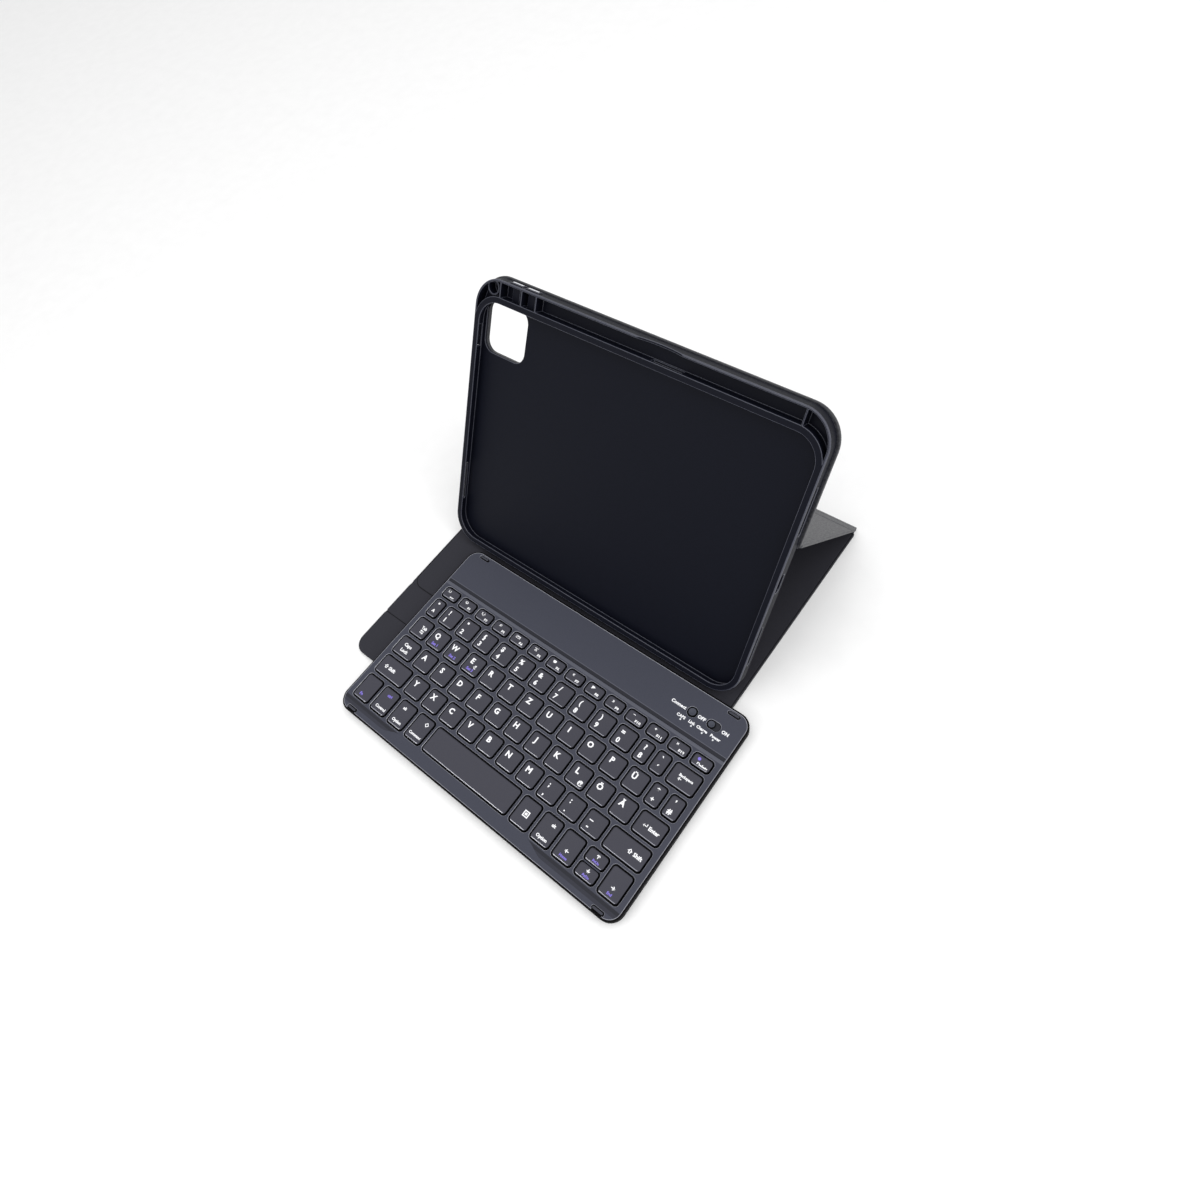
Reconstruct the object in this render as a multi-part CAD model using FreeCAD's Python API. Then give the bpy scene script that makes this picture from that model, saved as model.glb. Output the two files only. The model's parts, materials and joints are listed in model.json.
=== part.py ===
import FreeCAD, Part
import math
import os

V = FreeCAD.Vector

# All sizes in millimetres. The cover lies on the table, X runs along the
# keyboard, Y to the rear and Z up; the origin is the middle of its underside.

# Flat device size that the soft shell is moulded for, lying landscape
DEVICE_W = 247.6
DEVICE_H = 178.5
DEVICE_T = 5.9
DEVICE_R = 18.0

# Soft shell
BAY_GAP = 0.25
FLOOR_GAP = 0.1
SHELL_WALL = 2.0
SHELL_BACK = 1.8
SHELL_R = 20.0
LIP_OVER = 2.2
LIP_T = 0.9
RIM_CHAMFER = 0.5

# Pencil trough along the shell's top edge
TROUGH_W = 9.0
TROUGH_INNER_WALL = 1.5
TROUGH_OUTER_WALL = 1.5
RIB_T = 1.0
RIB_LEFT_X = -106.0
RIB_PADS_X = -76.5
RIB_RIGHT_X = 107.5
RING_X = -112.5
RING_R = 4.9
RING_BORE_R = 3.9
THUMB_X = 15.0
THUMB_LEN = 32.0
THUMB_DEPTH = 2.4
CHARGE_X = 21.0
CHARGE_LEN = 21.0
CHARGE_W = 4.2

# Cut-outs in the shell
CAMERA_W = 35.0
CAMERA_H = 34.0
CAMERA_R = 8.0
CAMERA_EDGE = 2.8
PORT_LEN = 13.0
PORT_W = 4.6
SPEAKER_LEN = 30.0
SPEAKER_W = 2.4
SPEAKER_FROM_EDGE = 42.0

# Press pads in the shell's edges
PAD_LEN = 10.6
PAD_W = 4.0
PAD_T = 1.6
PAD_PRESSED = 0.2
PAD_CLEAR = 0.3
PAD_TRAVEL = 0.4
PAD_STEM_LEN = 6.0
PAD_STEM_W = 2.0
VOLUME_X = -94.8
VOLUME_PITCH = 12.8
POWER_LEN = 14.0
POWER_FROM_TOP = 28.0

# Folio panels: outer skin, stiffening board and lining
SKIN_T = 0.7
BOARD_T = 1.3
LINING_T = 0.5
HEM = 6.0
BOARD_EDGE = 3.0
FIT = 0.1
FLANGE = 0.9
SIDE_FLANGE = 1.65
CUT_OVER = 1.0
LOZENGE_CUT = 0.3
POST_SIDES = 8
FLAP_R = 10.0
PANEL_R = 2.5
FOLD_INSET = 1.5
COVER_DEPTH = 211.6
STRIP_DEPTH = 28.5
FLAP_DEPTH = 35.3
SPINE_LEN = 17.9
Q_FROM_SHELL_FOOT = 114.6
CREASE_W = 2.4
CREASE_T = 0.6
FOLD_CLEAR = 0.25
WEB_T = 0.6
STAND_TILT = 57.5

# Magnets bedded in the boards
MAGNET_L = 20.0
MAGNET_W = 8.0
FLAP_MAGNET_X = 90.0
COVER_MAGNET_X = 84.0
COVER_MAGNET_Y = 36.0

# Keyboard body
KB_W = 247.2
KB_D = 150.1
KB_T = 5.6
KB_R = 10.0
KB_SHIFT_X = 22.3
KB_FOOT_GAP = 10.0
KB_WALL = 1.2
KB_DECK_T = 1.4
KB_EDGE_CHAMFER = 0.6
KB_BASE_T = 1.0
GROOVE_FROM_REAR = 31.7
GROOVE_W = 3.4
GROOVE_DEPTH = 0.5
SCOOP_NEAR = 4.8
SCOOP_FAR = 9.2
SCOOP_LEFT_LEN = 57.0
SCOOP_RIGHT_LEN = 74.0
SCOOP_RAMP = 15.0
SCOOP_DEPTH = 0.7

# Key field; a ratio is a well's width or depth, with its web, in key pitches
FIELD_LEFT = 5.5
FIELD_RIGHT = 5.4
FIELD_FRONT = 10.3
FIELD_TO_GROOVE = 2.9
WEB_X = 2.1
WEB_Y = 2.1
ROW_RATIO = 13.492
BOTTOM_ROW_RATIO = 1.231
TOP_ROW_RATIO = 0.652
CARET_RATIO = 0.719
NARROW_RATIO = 0.736
TAB_RATIO = 0.985
CAPS_RATIO = 1.205
SHIFT_RATIO = 1.703
SPACE_RATIO = 4.471
ARROW_SPLIT = 0.8
WELL_CORNER = 1.5
KEY_CORNER = 1.0
KEY_CLEAR = 0.45
KEY_TOP_INSET = 0.35
KEY_PROUD = 0.7
KEY_T = 2.7
FUNCTION_KEYS = 14
KEYS_BESIDE_SPACE = 4
NUMBER_KEYS = 10
TOP_LETTERS = 11
HOME_LETTERS = 11
BOTTOM_LETTERS = 10

# Inside the keyboard
PLATE_T = 0.4
MEMBRANE_T = 0.3
DOME_SHEET_T = 0.25
DOME_SIDE = 4.0
DOME_TOP = 2.6
DOME_H = 0.35
PLATE_MARGIN = 3.0
BATTERY_L = 120.0
BATTERY_W = 20.0
BATTERY_T = 2.6
BATTERY_X = 26.0
STRIP_GAP = 3.0
PCB_L = 52.0
PCB_T = 0.8
PCB_FROM_RIGHT = 5.0
SOCKET_L = 7.6
SOCKET_W = 6.0
SOCKET_T = 2.3
SOCKET_FROM_RIGHT = 47.2
SOCKET_WALL = 0.7

# Controls in the blank strip
BUTTON_FROM_RIGHT = 36.4
CONTROL_FROM_REAR = 16.8
BUTTON_R = 3.1
BUTTON_GAP = 0.3
BUTTON_PROUD = 0.4
TACT_SIDE = 4.5
TACT_T = 1.0
BUTTON_TRAVEL = 0.4
SWITCH_FROM_RIGHT = 20.2
SWITCH_L = 10.0
SWITCH_W = 6.2
SWITCH_SINK = 0.9
KNOB_L = 5.6
KNOB_W = 5.4
KNOB_PROUD = 0.15
KNOB_GAP = 0.3
STEM_L = 2.0
STEM_W = 1.6
SWITCH_TRAVEL = 3.4
SWITCH_BODY_L = 8.6
SWITCH_BODY_W = 3.6
SWITCH_BODY_T = 1.2
LIGHT_FROM_REAR = 25.1
LIGHT_FROM_RIGHT = 40.1
LIGHT_PITCH = 8.2
LIGHTS = 4
LIGHT_R = 0.5
LIGHT_GAP = 0.2

# Rubber bumpers on the deck's corners and the screws underneath
BUMPER_L = 8.0
BUMPER_W = 3.2
BUMPER_SINK = 0.4
BUMPER_PROUD = 0.6
BUMPER_GAP = 0.15
BUMPER_CORNER = 1.0
BUMPER_X = 13.5
BUMPER_REAR = 3.8
BUMPER_FRONT = 3.0
SCREW_X = 30.0
SCREW_EDGE = 4.2
SCREW_R = 0.8
SCREW_L = 3.0
SCREW_HEAD_R = 1.4
SCREW_HEAD_T = 0.6
SCREW_GAP = 0.2
BOSS_R = 1.8

# Worked-out sizes of the folio and the shell
PANEL_T = SKIN_T + BOARD_T + LINING_T
HALF_T = PANEL_T / 2
BASE_DEPTH = COVER_DEPTH + STRIP_DEPTH + FLAP_DEPTH
REAR_FOLD_Y = BASE_DEPTH / 2
STRIP_FOLD_Y = REAR_FOLD_Y - COVER_DEPTH
FLAP_FOLD_Y = STRIP_FOLD_Y - STRIP_DEPTH
FRONT_Y = FLAP_FOLD_Y - FLAP_DEPTH

BAY_X = DEVICE_W / 2 + BAY_GAP
BAY_TOP = DEVICE_H + BAY_GAP
SHELL_X = BAY_X + SHELL_WALL
FOLIO_W = 2 * (SHELL_X + SIDE_FLANGE)
SHELL_FOOT = -BAY_GAP - SHELL_WALL
TROUGH_LOW = BAY_TOP + TROUGH_INNER_WALL
TROUGH_HIGH = TROUGH_LOW + TROUGH_W
SHELL_TOP = TROUGH_HIGH + TROUGH_OUTER_WALL
SHELL_FLOOR = -DEVICE_T - FLOOR_GAP
SHELL_REAR = SHELL_FLOOR - SHELL_BACK
LIP_LOW = FLOOR_GAP
SHELL_FRONT = LIP_LOW + LIP_T
MID_T = -DEVICE_T / 2
PAD_PROUD = PAD_PRESSED + PAD_TRAVEL

# The stand is a triangle: the shell's foot on the cover, the fold on the
# shell's back and the fold at the cover's rear edge
TILT = math.radians(STAND_TILT)
FOLD_S = SHELL_FOOT + Q_FROM_SHELL_FOOT
FOLD_W = SHELL_REAR - HALF_T
SHELL_Z = PANEL_T - SHELL_FOOT * math.sin(TILT) - SHELL_REAR * math.cos(TILT)
FOLD_Z = SHELL_Z + FOLD_S * math.sin(TILT) + FOLD_W * math.cos(TILT)
STRUT_LEN = SPINE_LEN + Q_FROM_SHELL_FOOT
STRUT_SLOPE = math.asin((FOLD_Z - HALF_T) / STRUT_LEN)
FOLD_Y = REAR_FOLD_Y - STRUT_LEN * math.cos(STRUT_SLOPE)
SHELL_Y = FOLD_Y - FOLD_S * math.cos(TILT) + FOLD_W * math.sin(TILT)
FOOT_Y = SHELL_Y + SHELL_FOOT * math.cos(TILT) - SHELL_REAR * math.sin(TILT)
REAR_SET = HALF_T / math.tan(STRUT_SLOPE / 2) + FOLD_CLEAR
BACK_SET = HALF_T / math.tan((TILT + STRUT_SLOPE) / 2) + FOLD_CLEAR
FLAP_SET = HALF_T + FOLD_CLEAR

SHELL_AT = FreeCAD.Placement(V(0, SHELL_Y, SHELL_Z), FreeCAD.Rotation(V(1, 0, 0), STAND_TILT))
STRUT_AT = FreeCAD.Placement(
    V(0, REAR_FOLD_Y, HALF_T),
    FreeCAD.Rotation(V(1, 0, 0), 180 - math.degrees(STRUT_SLOPE)),
)

# Worked-out places of the keyboard, its own origin is its front left corner
KB_REAR_Y = FOOT_Y - KB_FOOT_GAP
KB_AT = FreeCAD.Placement(V(KB_SHIFT_X - KB_W / 2, KB_REAR_Y - KB_D, PANEL_T), FreeCAD.Rotation())
DECK_LOW = KB_T - KB_DECK_T
KEY_TOP = KB_T + KEY_PROUD
KEY_LOW = KEY_TOP - KEY_T
PLATE_TOP = KB_BASE_T + PLATE_T
MEMBRANE_TOP = PLATE_TOP + MEMBRANE_T
SHEET_TOP = MEMBRANE_TOP + DOME_SHEET_T
PCB_TOP = KB_BASE_T + PCB_T
GROOVE_Y = KB_D - GROOVE_FROM_REAR
STRIP_LOW = GROOVE_Y + GROOVE_W / 2
FIELD_REAR = GROOVE_Y - GROOVE_W / 2 - FIELD_TO_GROOVE
ROW_DEPTHS = [BOTTOM_ROW_RATIO, 1, 1, 1, 1, TOP_ROW_RATIO]
PITCH_X = (KB_W - FIELD_LEFT - FIELD_RIGHT + WEB_X) / ROW_RATIO
PITCH_Y = (FIELD_REAR - FIELD_FRONT + WEB_Y) / sum(ROW_DEPTHS)
CONTROL_Y = KB_D - CONTROL_FROM_REAR
BUTTON_X = KB_W - BUTTON_FROM_RIGHT
SWITCH_X = KB_W - SWITCH_FROM_RIGHT
LIGHT_X = KB_W - LIGHT_FROM_RIGHT
LIGHT_Y = KB_D - LIGHT_FROM_REAR
SOCKET_X = KB_W - SOCKET_FROM_RIGHT


def rounded_wire(x0, x1, y0, y1, z, radii):
    """Closed outline of a rectangle; radii run from x0 y0 round to x0 y1."""
    corners = [(x0, y0, 1, 1), (x1, y0, -1, 1), (x1, y1, -1, -1), (x0, y1, 1, -1)]
    edges = []
    last = None
    first = None
    for index, ((x, y, sx, sy), r) in enumerate(zip(corners, radii)):
        along_x = V(x + sx * r, y, z)
        along_y = V(x, y + sy * r, z)
        enter, leave = (along_y, along_x) if index % 2 == 0 else (along_x, along_y)
        if last is not None:
            edges.append(Part.makeLine(last, enter))
        if r > 0:
            k = r * (1 - math.sqrt(0.5))
            edges.append(Part.Arc(enter, V(x + sx * k, y + sy * k, z), leave).toShape())
        first = first or enter
        last = leave
    edges.append(Part.makeLine(last, first))
    return Part.Wire(edges)


def prism(x0, x1, y0, y1, z0, z1, r=0.0):
    """Upright block with rounded corners; r is one radius or four."""
    radii = r if isinstance(r, tuple) else (r, r, r, r)
    return Part.Face(rounded_wire(x0, x1, y0, y1, z0, radii)).extrude(V(0, 0, z1 - z0))


def centred(x, y, length, width, z0, z1, r=0.0):
    return prism(x - length / 2, x + length / 2, y - width / 2, y + width / 2, z0, z1, r)


def octagon_wire(x0, x1, y0, y1, z, cut):
    """Closed outline of a rectangle with its four corners cut off."""
    points = [
        V(x0 + cut, y0, z), V(x1 - cut, y0, z), V(x1, y0 + cut, z), V(x1, y1 - cut, z),
        V(x1 - cut, y1, z), V(x0 + cut, y1, z), V(x0, y1 - cut, z), V(x0, y0 + cut, z),
    ]
    return Part.makePolygon(points + points[:1])


def octagon(x0, x1, y0, y1, z0, z1, cut):
    """Upright block with its four corners cut off."""
    return Part.Face(octagon_wire(x0, x1, y0, y1, z0, cut)).extrude(V(0, 0, z1 - z0))


def taper(x0, x1, y0, y1, z0, z1, draft, cut):
    """Block with cut corners whose sides lean in by draft towards the top."""
    low = octagon_wire(x0, x1, y0, y1, z0, cut)
    high = octagon_wire(x0 + draft, x1 - draft, y0 + draft, y1 - draft, z1, cut)
    return Part.makeLoft([low, high], True, True)


def lozenge(x, y, length, width, z0, z1):
    """Long upright block whose ends are narrowed by cut corners."""
    half_l = length / 2
    half_w = width / 2
    return octagon(x - half_l, x + half_l, y - half_w, y + half_w, z0, z1, LOZENGE_CUT * width)


def cylinder(x, y, r, z0, z1):
    return Part.makeCylinder(r, z1 - z0, V(x, y, z0))


def post(x, y, r, z0, z1):
    """Slim upright post with a many-sided section."""
    turns = [2 * math.pi * k / POST_SIDES for k in range(POST_SIDES)]
    points = [V(x + r * math.cos(a), y + r * math.sin(a), z0) for a in turns]
    return Part.Face(Part.makePolygon(points + points[:1])).extrude(V(0, 0, z1 - z0))


def rod_x(x0, x1, y, z, r):
    """Slim rod along X with the section of a post."""
    rod = post(0, 0, r, 0, x1 - x0)
    rod.Placement = FreeCAD.Placement(V(x0, y, z), FreeCAD.Rotation(V(0, 1, 0), 90))
    return rod


def edges_at(shape, z):
    """Edges of a shape that lie flat at height z."""
    box = [(e, e.BoundBox) for e in shape.Edges]
    return [e for e, b in box if abs(b.ZMin - z) < 1e-6 and abs(b.ZMax - z) < 1e-6]


def export(name, shape, placement=None):
    """Write one node; a group of solids is written as a compound."""
    out = shape.copy()
    if placement is not None:
        out.Placement = placement.multiply(out.Placement)
    out.exportStep("parts/" + name + ".step")


# Folio panels


def panel(y0, y1, radii, lined=True, boards=None):
    """Skin, boards and lining of one panel with its outer face at z = 0."""
    x = FOLIO_W / 2
    spans = boards or [(y0 + BOARD_EDGE, y1 - BOARD_EDGE)]
    lining_low = SKIN_T + BOARD_T
    skin = prism(-x, x, y0, y1, 0, PANEL_T, radii)
    solids = []
    for low, high in spans:
        inner = tuple(max(r - BOARD_EDGE, 0) for r in radii)
        skin = skin.cut(prism(-x + BOARD_EDGE, x - BOARD_EDGE, low, high, SKIN_T, lining_low, inner))
        edge = BOARD_EDGE + FIT
        solids.append(prism(-x + edge, x - edge, low + FIT, high - FIT, SKIN_T, lining_low, inner))
    if not lined:
        return skin.cut(prism(-x, x, y0, y1, lining_low, PANEL_T)), solids, None
    hem = tuple(max(r - HEM, 0) for r in radii)
    skin = skin.cut(prism(-x + HEM, x - HEM, y0 + HEM, y1 - HEM, lining_low, PANEL_T, hem))
    edge = HEM + FIT
    lining = prism(-x + edge, x - edge, y0 + edge, y1 - edge, lining_low, PANEL_T, hem)
    return skin, solids, lining


def fold_web(y_panel, y_axis, z, bead):
    """Thin bridge of skin from a panel's end to the bead on its fold line."""
    x = FOLIO_W / 2 - FOLD_INSET
    web = prism(-x, x, min(y_panel, y_axis), max(y_panel, y_axis), z - WEB_T / 2, z + WEB_T / 2)
    return web.fuse(rod_x(-x, x, y_axis, z, bead))


def magnet_beds(places, board):
    """Magnets let into a board: the pierced board and the group of magnets."""
    z0 = SKIN_T
    z1 = SKIN_T + BOARD_T
    magnets = []
    for x, y in places:
        board = board.cut(centred(x, y, MAGNET_L + 2 * FIT, MAGNET_W + 2 * FIT, z0, z1))
        magnets.append(centred(x, y, MAGNET_L, MAGNET_W, z0, z1))
    return board, Part.makeCompound(magnets)


def make_cover():
    y0 = STRIP_FOLD_Y + FLAP_SET
    y1 = REAR_FOLD_Y - REAR_SET
    skin, boards, lining = panel(y0, y1, (0, 0, PANEL_R, PANEL_R))
    skin = skin.fuse(fold_web(y1, REAR_FOLD_Y, HALF_T, HALF_T))
    skin = skin.fuse(fold_web(y0, STRIP_FOLD_Y, HALF_T, HALF_T - FOLD_CLEAR)).removeSplitter()
    y = KB_REAR_Y - COVER_MAGNET_Y / 2
    places = [(sx * COVER_MAGNET_X, y - k * COVER_MAGNET_Y / 2) for sx in (-1, 1) for k in (0, 1)]
    board, magnets = magnet_beds(places, boards[0])
    export("cover_skin", skin)
    export("cover_board", board)
    export("cover_lining", lining)
    export("cover_magnets", magnets)


def make_strip():
    y0 = FLAP_FOLD_Y + FLAP_SET
    y1 = STRIP_FOLD_Y - FLAP_SET
    skin, boards, lining = panel(y0, y1, (0, 0, 0, 0))
    web = fold_web(y0, FLAP_FOLD_Y, HALF_T, HALF_T - FOLD_CLEAR)
    export("strip_skin", skin.fuse(web).removeSplitter())
    export("strip_board", boards[0])
    export("strip_lining", lining)


def make_flap():
    y1 = FLAP_FOLD_Y - FLAP_SET
    skin, boards, lining = panel(FRONT_Y, y1, (FLAP_R, FLAP_R, 0, 0))
    y = (FRONT_Y + y1) / 2
    places = [(k * FLAP_MAGNET_X, y) for k in (-1, 0, 1)]
    board, magnets = magnet_beds(places, boards[0])
    export("flap_skin", skin)
    export("flap_board", board)
    export("flap_lining", lining)
    export("flap_magnets", magnets)


def make_stand():
    """Spine and lower back in one skin, from the rear fold to the back fold."""
    y0 = REAR_SET
    y1 = STRUT_LEN - BACK_SET
    crease = SPINE_LEN
    boards = [(y0 + BOARD_EDGE, crease - CREASE_W / 2), (crease + CREASE_W / 2, y1 - BOARD_EDGE)]
    skin, solids, lining = panel(y0, y1, (PANEL_R, PANEL_R, PANEL_R, PANEL_R), boards=boards)
    x = FOLIO_W / 2
    groove = prism(-x, x, crease - CREASE_W / 4, crease + CREASE_W / 4, 0, CREASE_T)
    at = STRUT_AT.multiply(FreeCAD.Placement(V(0, 0, -HALF_T), FreeCAD.Rotation()))
    export("stand_skin", skin.cut(groove), at)
    export("spine_board", solids[0], at)
    export("lower_back_board", solids[1], at)
    export("stand_lining", lining, at)


def camera_hole(z0, z1, grow=0.0):
    x = -DEVICE_W / 2 + CAMERA_EDGE + CAMERA_W / 2
    y = DEVICE_H - CAMERA_EDGE - CAMERA_H / 2
    return centred(x, y, CAMERA_W + 2 * grow, CAMERA_H + 2 * grow, z0, z1, CAMERA_R + grow)


def make_upper_back():
    y0 = FOLD_S + BACK_SET
    y1 = SHELL_TOP + FLANGE
    r = SHELL_R + FLANGE
    skin, boards, _ = panel(y0, y1, (0, 0, r, r), lined=False)
    x = FOLIO_W / 2
    low = SKIN_T + BOARD_T
    inner = (0, 0, r - HEM, r - HEM)
    rim = prism(-x, x, y0, y1, low, PANEL_T, (0, 0, r, r))
    rim = rim.cut(prism(-x + HEM, x - HEM, y0 + HEM, y1 - HEM, low, PANEL_T, inner))
    skin = skin.fuse(rim)
    collar = camera_hole(0, PANEL_T, BOARD_EDGE)
    skin = skin.fuse(collar).cut(camera_hole(0, PANEL_T))
    skin = skin.fuse(fold_web(y0, FOLD_S, HALF_T, BACK_SET - 2 * FOLD_CLEAR)).removeSplitter()
    board = boards[0].cut(camera_hole(0, PANEL_T, BOARD_EDGE + FIT))
    pad_edge = HEM + FIT
    pad = prism(-x + pad_edge, x - pad_edge, y0 + pad_edge, y1 - pad_edge, low, PANEL_T, inner)
    pad = pad.cut(camera_hole(0, PANEL_T, BOARD_EDGE + FIT))
    at = SHELL_AT.multiply(FreeCAD.Placement(V(0, 0, SHELL_REAR - PANEL_T), FreeCAD.Rotation()))
    export("upper_back_skin", skin, at)
    export("upper_back_board", board, at)
    export("shell_adhesive_sheet", pad, at)


# Soft shell with its trough, cut-outs and press pads


def slot_in_side(side, s, length, width):
    """Long slot through a short side wall, at mid thickness."""
    cutter = lozenge(0, 0, length, width, -SHELL_WALL, SHELL_WALL)
    turn = FreeCAD.Rotation(V(0, 1, 0), 90).multiply(FreeCAD.Rotation(V(0, 0, 1), 90))
    cutter.Placement = FreeCAD.Placement(V(side * (SHELL_X - SHELL_WALL / 2), s, MID_T), turn)
    return cutter


def pad_solid(length, stem):
    """A press pad; y = 0 is the wall's outer face and -Y points into the bay."""
    pad = centred(0, PAD_PROUD - PAD_T / 2, length, PAD_T, -PAD_W / 2, PAD_W / 2)
    if not stem:
        return pad
    reach = SHELL_TOP - BAY_TOP - FIT
    post = centred(0, -reach / 2, PAD_STEM_LEN, reach, -PAD_STEM_W / 2, PAD_STEM_W / 2)
    return pad.fuse(post).removeSplitter()


def pad_hole(length, wall, stem):
    """Way for a pad through its wall and for its stem on into the bay."""
    c = 2 * PAD_CLEAR
    hole = centred(0, 0, length + c, 2 * wall, -(PAD_W + c) / 2, (PAD_W + c) / 2)
    if not stem:
        return hole
    reach = SHELL_TOP - BAY_TOP + FIT
    half = (PAD_STEM_W + c) / 2
    return hole.fuse(centred(0, -reach / 2, PAD_STEM_LEN + c, reach, -half, half))


def pad_places():
    """Name, placement in the shell and shape arguments of each pad."""
    upright = FreeCAD.Rotation()
    left = FreeCAD.Rotation(V(0, 0, 1), 90)
    up_at = FreeCAD.Placement(V(VOLUME_X, SHELL_TOP, MID_T), upright)
    down_at = FreeCAD.Placement(V(VOLUME_X + VOLUME_PITCH, SHELL_TOP, MID_T), upright)
    power_at = FreeCAD.Placement(V(-SHELL_X, DEVICE_H - POWER_FROM_TOP, MID_T), left)
    return [
        ("volume_up_pad", up_at, PAD_LEN, True),
        ("volume_down_pad", down_at, PAD_LEN, True),
        ("power_pad", power_at, POWER_LEN, False),
    ]


def trough_space():
    """Room between the bay's wall and the shell's outer wall, with its ribs."""
    wall = TROUGH_OUTER_WALL
    top = SHELL_FRONT + CUT_OVER
    space = prism(-SHELL_X + wall, SHELL_X - wall, SHELL_FOOT + wall, SHELL_TOP - wall, SHELL_FLOOR, top,
                  SHELL_R - wall)
    grow = BAY_GAP + TROUGH_INNER_WALL
    space = space.cut(prism(-DEVICE_W / 2 - grow, DEVICE_W / 2 + grow, -grow, DEVICE_H + grow,
                            SHELL_FLOOR, top, DEVICE_R + grow))
    for x in (RIB_LEFT_X, VOLUME_X + VOLUME_PITCH / 2, RIB_PADS_X, RIB_RIGHT_X):
        space = space.cut(centred(x, TROUGH_LOW + TROUGH_W / 2, RIB_T, 2 * TROUGH_W, SHELL_FLOOR, top))
    s = TROUGH_LOW + TROUGH_W / 2
    ring = cylinder(RING_X, s, RING_R, SHELL_FLOOR, LIP_LOW)
    ring = ring.cut(cylinder(RING_X, s, RING_BORE_R, SHELL_FLOOR, LIP_LOW))
    return space.cut(ring)


def make_shell():
    shell = prism(-SHELL_X, SHELL_X, SHELL_FOOT, SHELL_TOP, SHELL_REAR, SHELL_FRONT, SHELL_R)
    shell = shell.makeChamfer(RIM_CHAMFER, edges_at(shell, SHELL_FRONT))
    shell = shell.cut(prism(-BAY_X, BAY_X, -BAY_GAP, BAY_TOP, SHELL_FLOOR, LIP_LOW, DEVICE_R + BAY_GAP))
    x = DEVICE_W / 2 - LIP_OVER
    y = DEVICE_H - LIP_OVER
    shell = shell.cut(prism(-x, x, LIP_OVER, y, 0, SHELL_FRONT + CUT_OVER, DEVICE_R - LIP_OVER))
    shell = shell.cut(trough_space())
    shell = shell.cut(camera_hole(SHELL_REAR - CUT_OVER, SHELL_FLOOR + CUT_OVER))
    scoop_r = (THUMB_LEN ** 2 / 4 + THUMB_DEPTH ** 2) / (2 * THUMB_DEPTH)
    scoop_z = SHELL_FRONT - THUMB_DEPTH + scoop_r
    s = TROUGH_LOW + TROUGH_W / 2
    shell = shell.cut(Part.makeCylinder(scoop_r, TROUGH_W, V(THUMB_X, s, scoop_z), V(0, 1, 0)))
    shell = shell.cut(centred(CHARGE_X, BAY_TOP + TROUGH_INNER_WALL / 2, CHARGE_LEN, 2 * TROUGH_INNER_WALL,
                              MID_T - CHARGE_W / 2, MID_T + CHARGE_W / 2))
    shell = shell.cut(slot_in_side(1, DEVICE_H / 2, PORT_LEN, PORT_W))
    for side in (-1, 1):
        for s in (SPEAKER_FROM_EDGE, DEVICE_H - SPEAKER_FROM_EDGE):
            blocked = side < 0 and s > DEVICE_H / 2
            if not blocked:
                shell = shell.cut(slot_in_side(side, s, SPEAKER_LEN, SPEAKER_W))
    for name, at, length, stem in pad_places():
        hole = pad_hole(length, TROUGH_OUTER_WALL if stem else SHELL_WALL, stem)
        hole.Placement = at
        shell = shell.cut(hole)
        export(name, pad_solid(length, stem), SHELL_AT.multiply(at))
    export("tpu_shell", shell, SHELL_AT)


# Keyboard


def row_spans():
    """Depth range of each key row, from the front row to the function row."""
    spans = []
    y = FIELD_FRONT
    for pitches in ROW_DEPTHS:
        spans.append((y, y + pitches * PITCH_Y - WEB_Y))
        y += pitches * PITCH_Y
    return spans


def lay_row(row, widths):
    """Wells of one row from left to right; the last one fills the row."""
    y0, y1 = row_spans()[row]
    wells = []
    x = FIELD_LEFT
    for pitches in widths:
        wells.append((x, x + pitches * PITCH_X - WEB_X, y0, y1))
        x += pitches * PITCH_X
    wells.append((x, KB_W - FIELD_RIGHT, y0, y1))
    return wells


def key_wells():
    """Wells in the deck, listed under the name of the node that fills them."""
    front = lay_row(0, [1] * KEYS_BESIDE_SPACE + [SPACE_RATIO] + [1] * KEYS_BESIDE_SPACE)
    lower = lay_row(1, [SHIFT_RATIO] + [1] * BOTTOM_LETTERS)
    home = lay_row(2, [CAPS_RATIO] + [1] * HOME_LETTERS)
    upper = lay_row(3, [TAB_RATIO] + [1] * TOP_LETTERS + [NARROW_RATIO])
    number = lay_row(4, [CARET_RATIO] + [1] * NUMBER_KEYS + [NARROW_RATIO] * 2)
    function = lay_row(5, [ROW_RATIO / FUNCTION_KEYS] * (FUNCTION_KEYS - 1))
    front_names = ["fn_key", "control_key", "left_option_key", "command_key", "space_bar", "symbol_key",
                   "right_option_key", "left_arrow_key", "up_down_arrow_keys", "right_arrow_key"]
    wells = {name: [well] for name, well in zip(front_names, front)}
    wells.update({"left_shift_key": lower[:1], "right_shift_key": lower[-1:]})
    wells["bottom_letter_keys"] = lower[1:-1]
    wells.update({"caps_lock_key": home[:1], "enter_key": home[-1:], "home_letter_keys": home[1:-1]})
    wells.update({"tab_key": upper[:1], "top_letter_keys": upper[1:]})
    wells.update({"caret_key": number[:1], "backspace_key": number[-1:], "number_keys": number[1:-1]})
    wells["function_keys"] = function
    return wells


def key_cap(x0, x1, y0, y1):
    c = KEY_CLEAR
    return taper(x0 + c, x1 - c, y0 + c, y1 - c, KEY_LOW, KEY_TOP, KEY_TOP_INSET, KEY_CORNER)


def make_keys():
    for name, wells in key_wells().items():
        if name == "up_down_arrow_keys":
            x0, x1, y0, y1 = wells[0]
            reach = KEY_CLEAR - ARROW_SPLIT / 2
            middle = (y0 + y1) / 2
            export("down_arrow_key", key_cap(x0, x1, y0, middle + reach), KB_AT)
            export("up_arrow_key", key_cap(x0, x1, middle - reach, y1), KB_AT)
        else:
            caps = [key_cap(*well) for well in wells]
            export(name, caps[0] if len(caps) == 1 else Part.makeCompound(caps), KB_AT)


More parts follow.
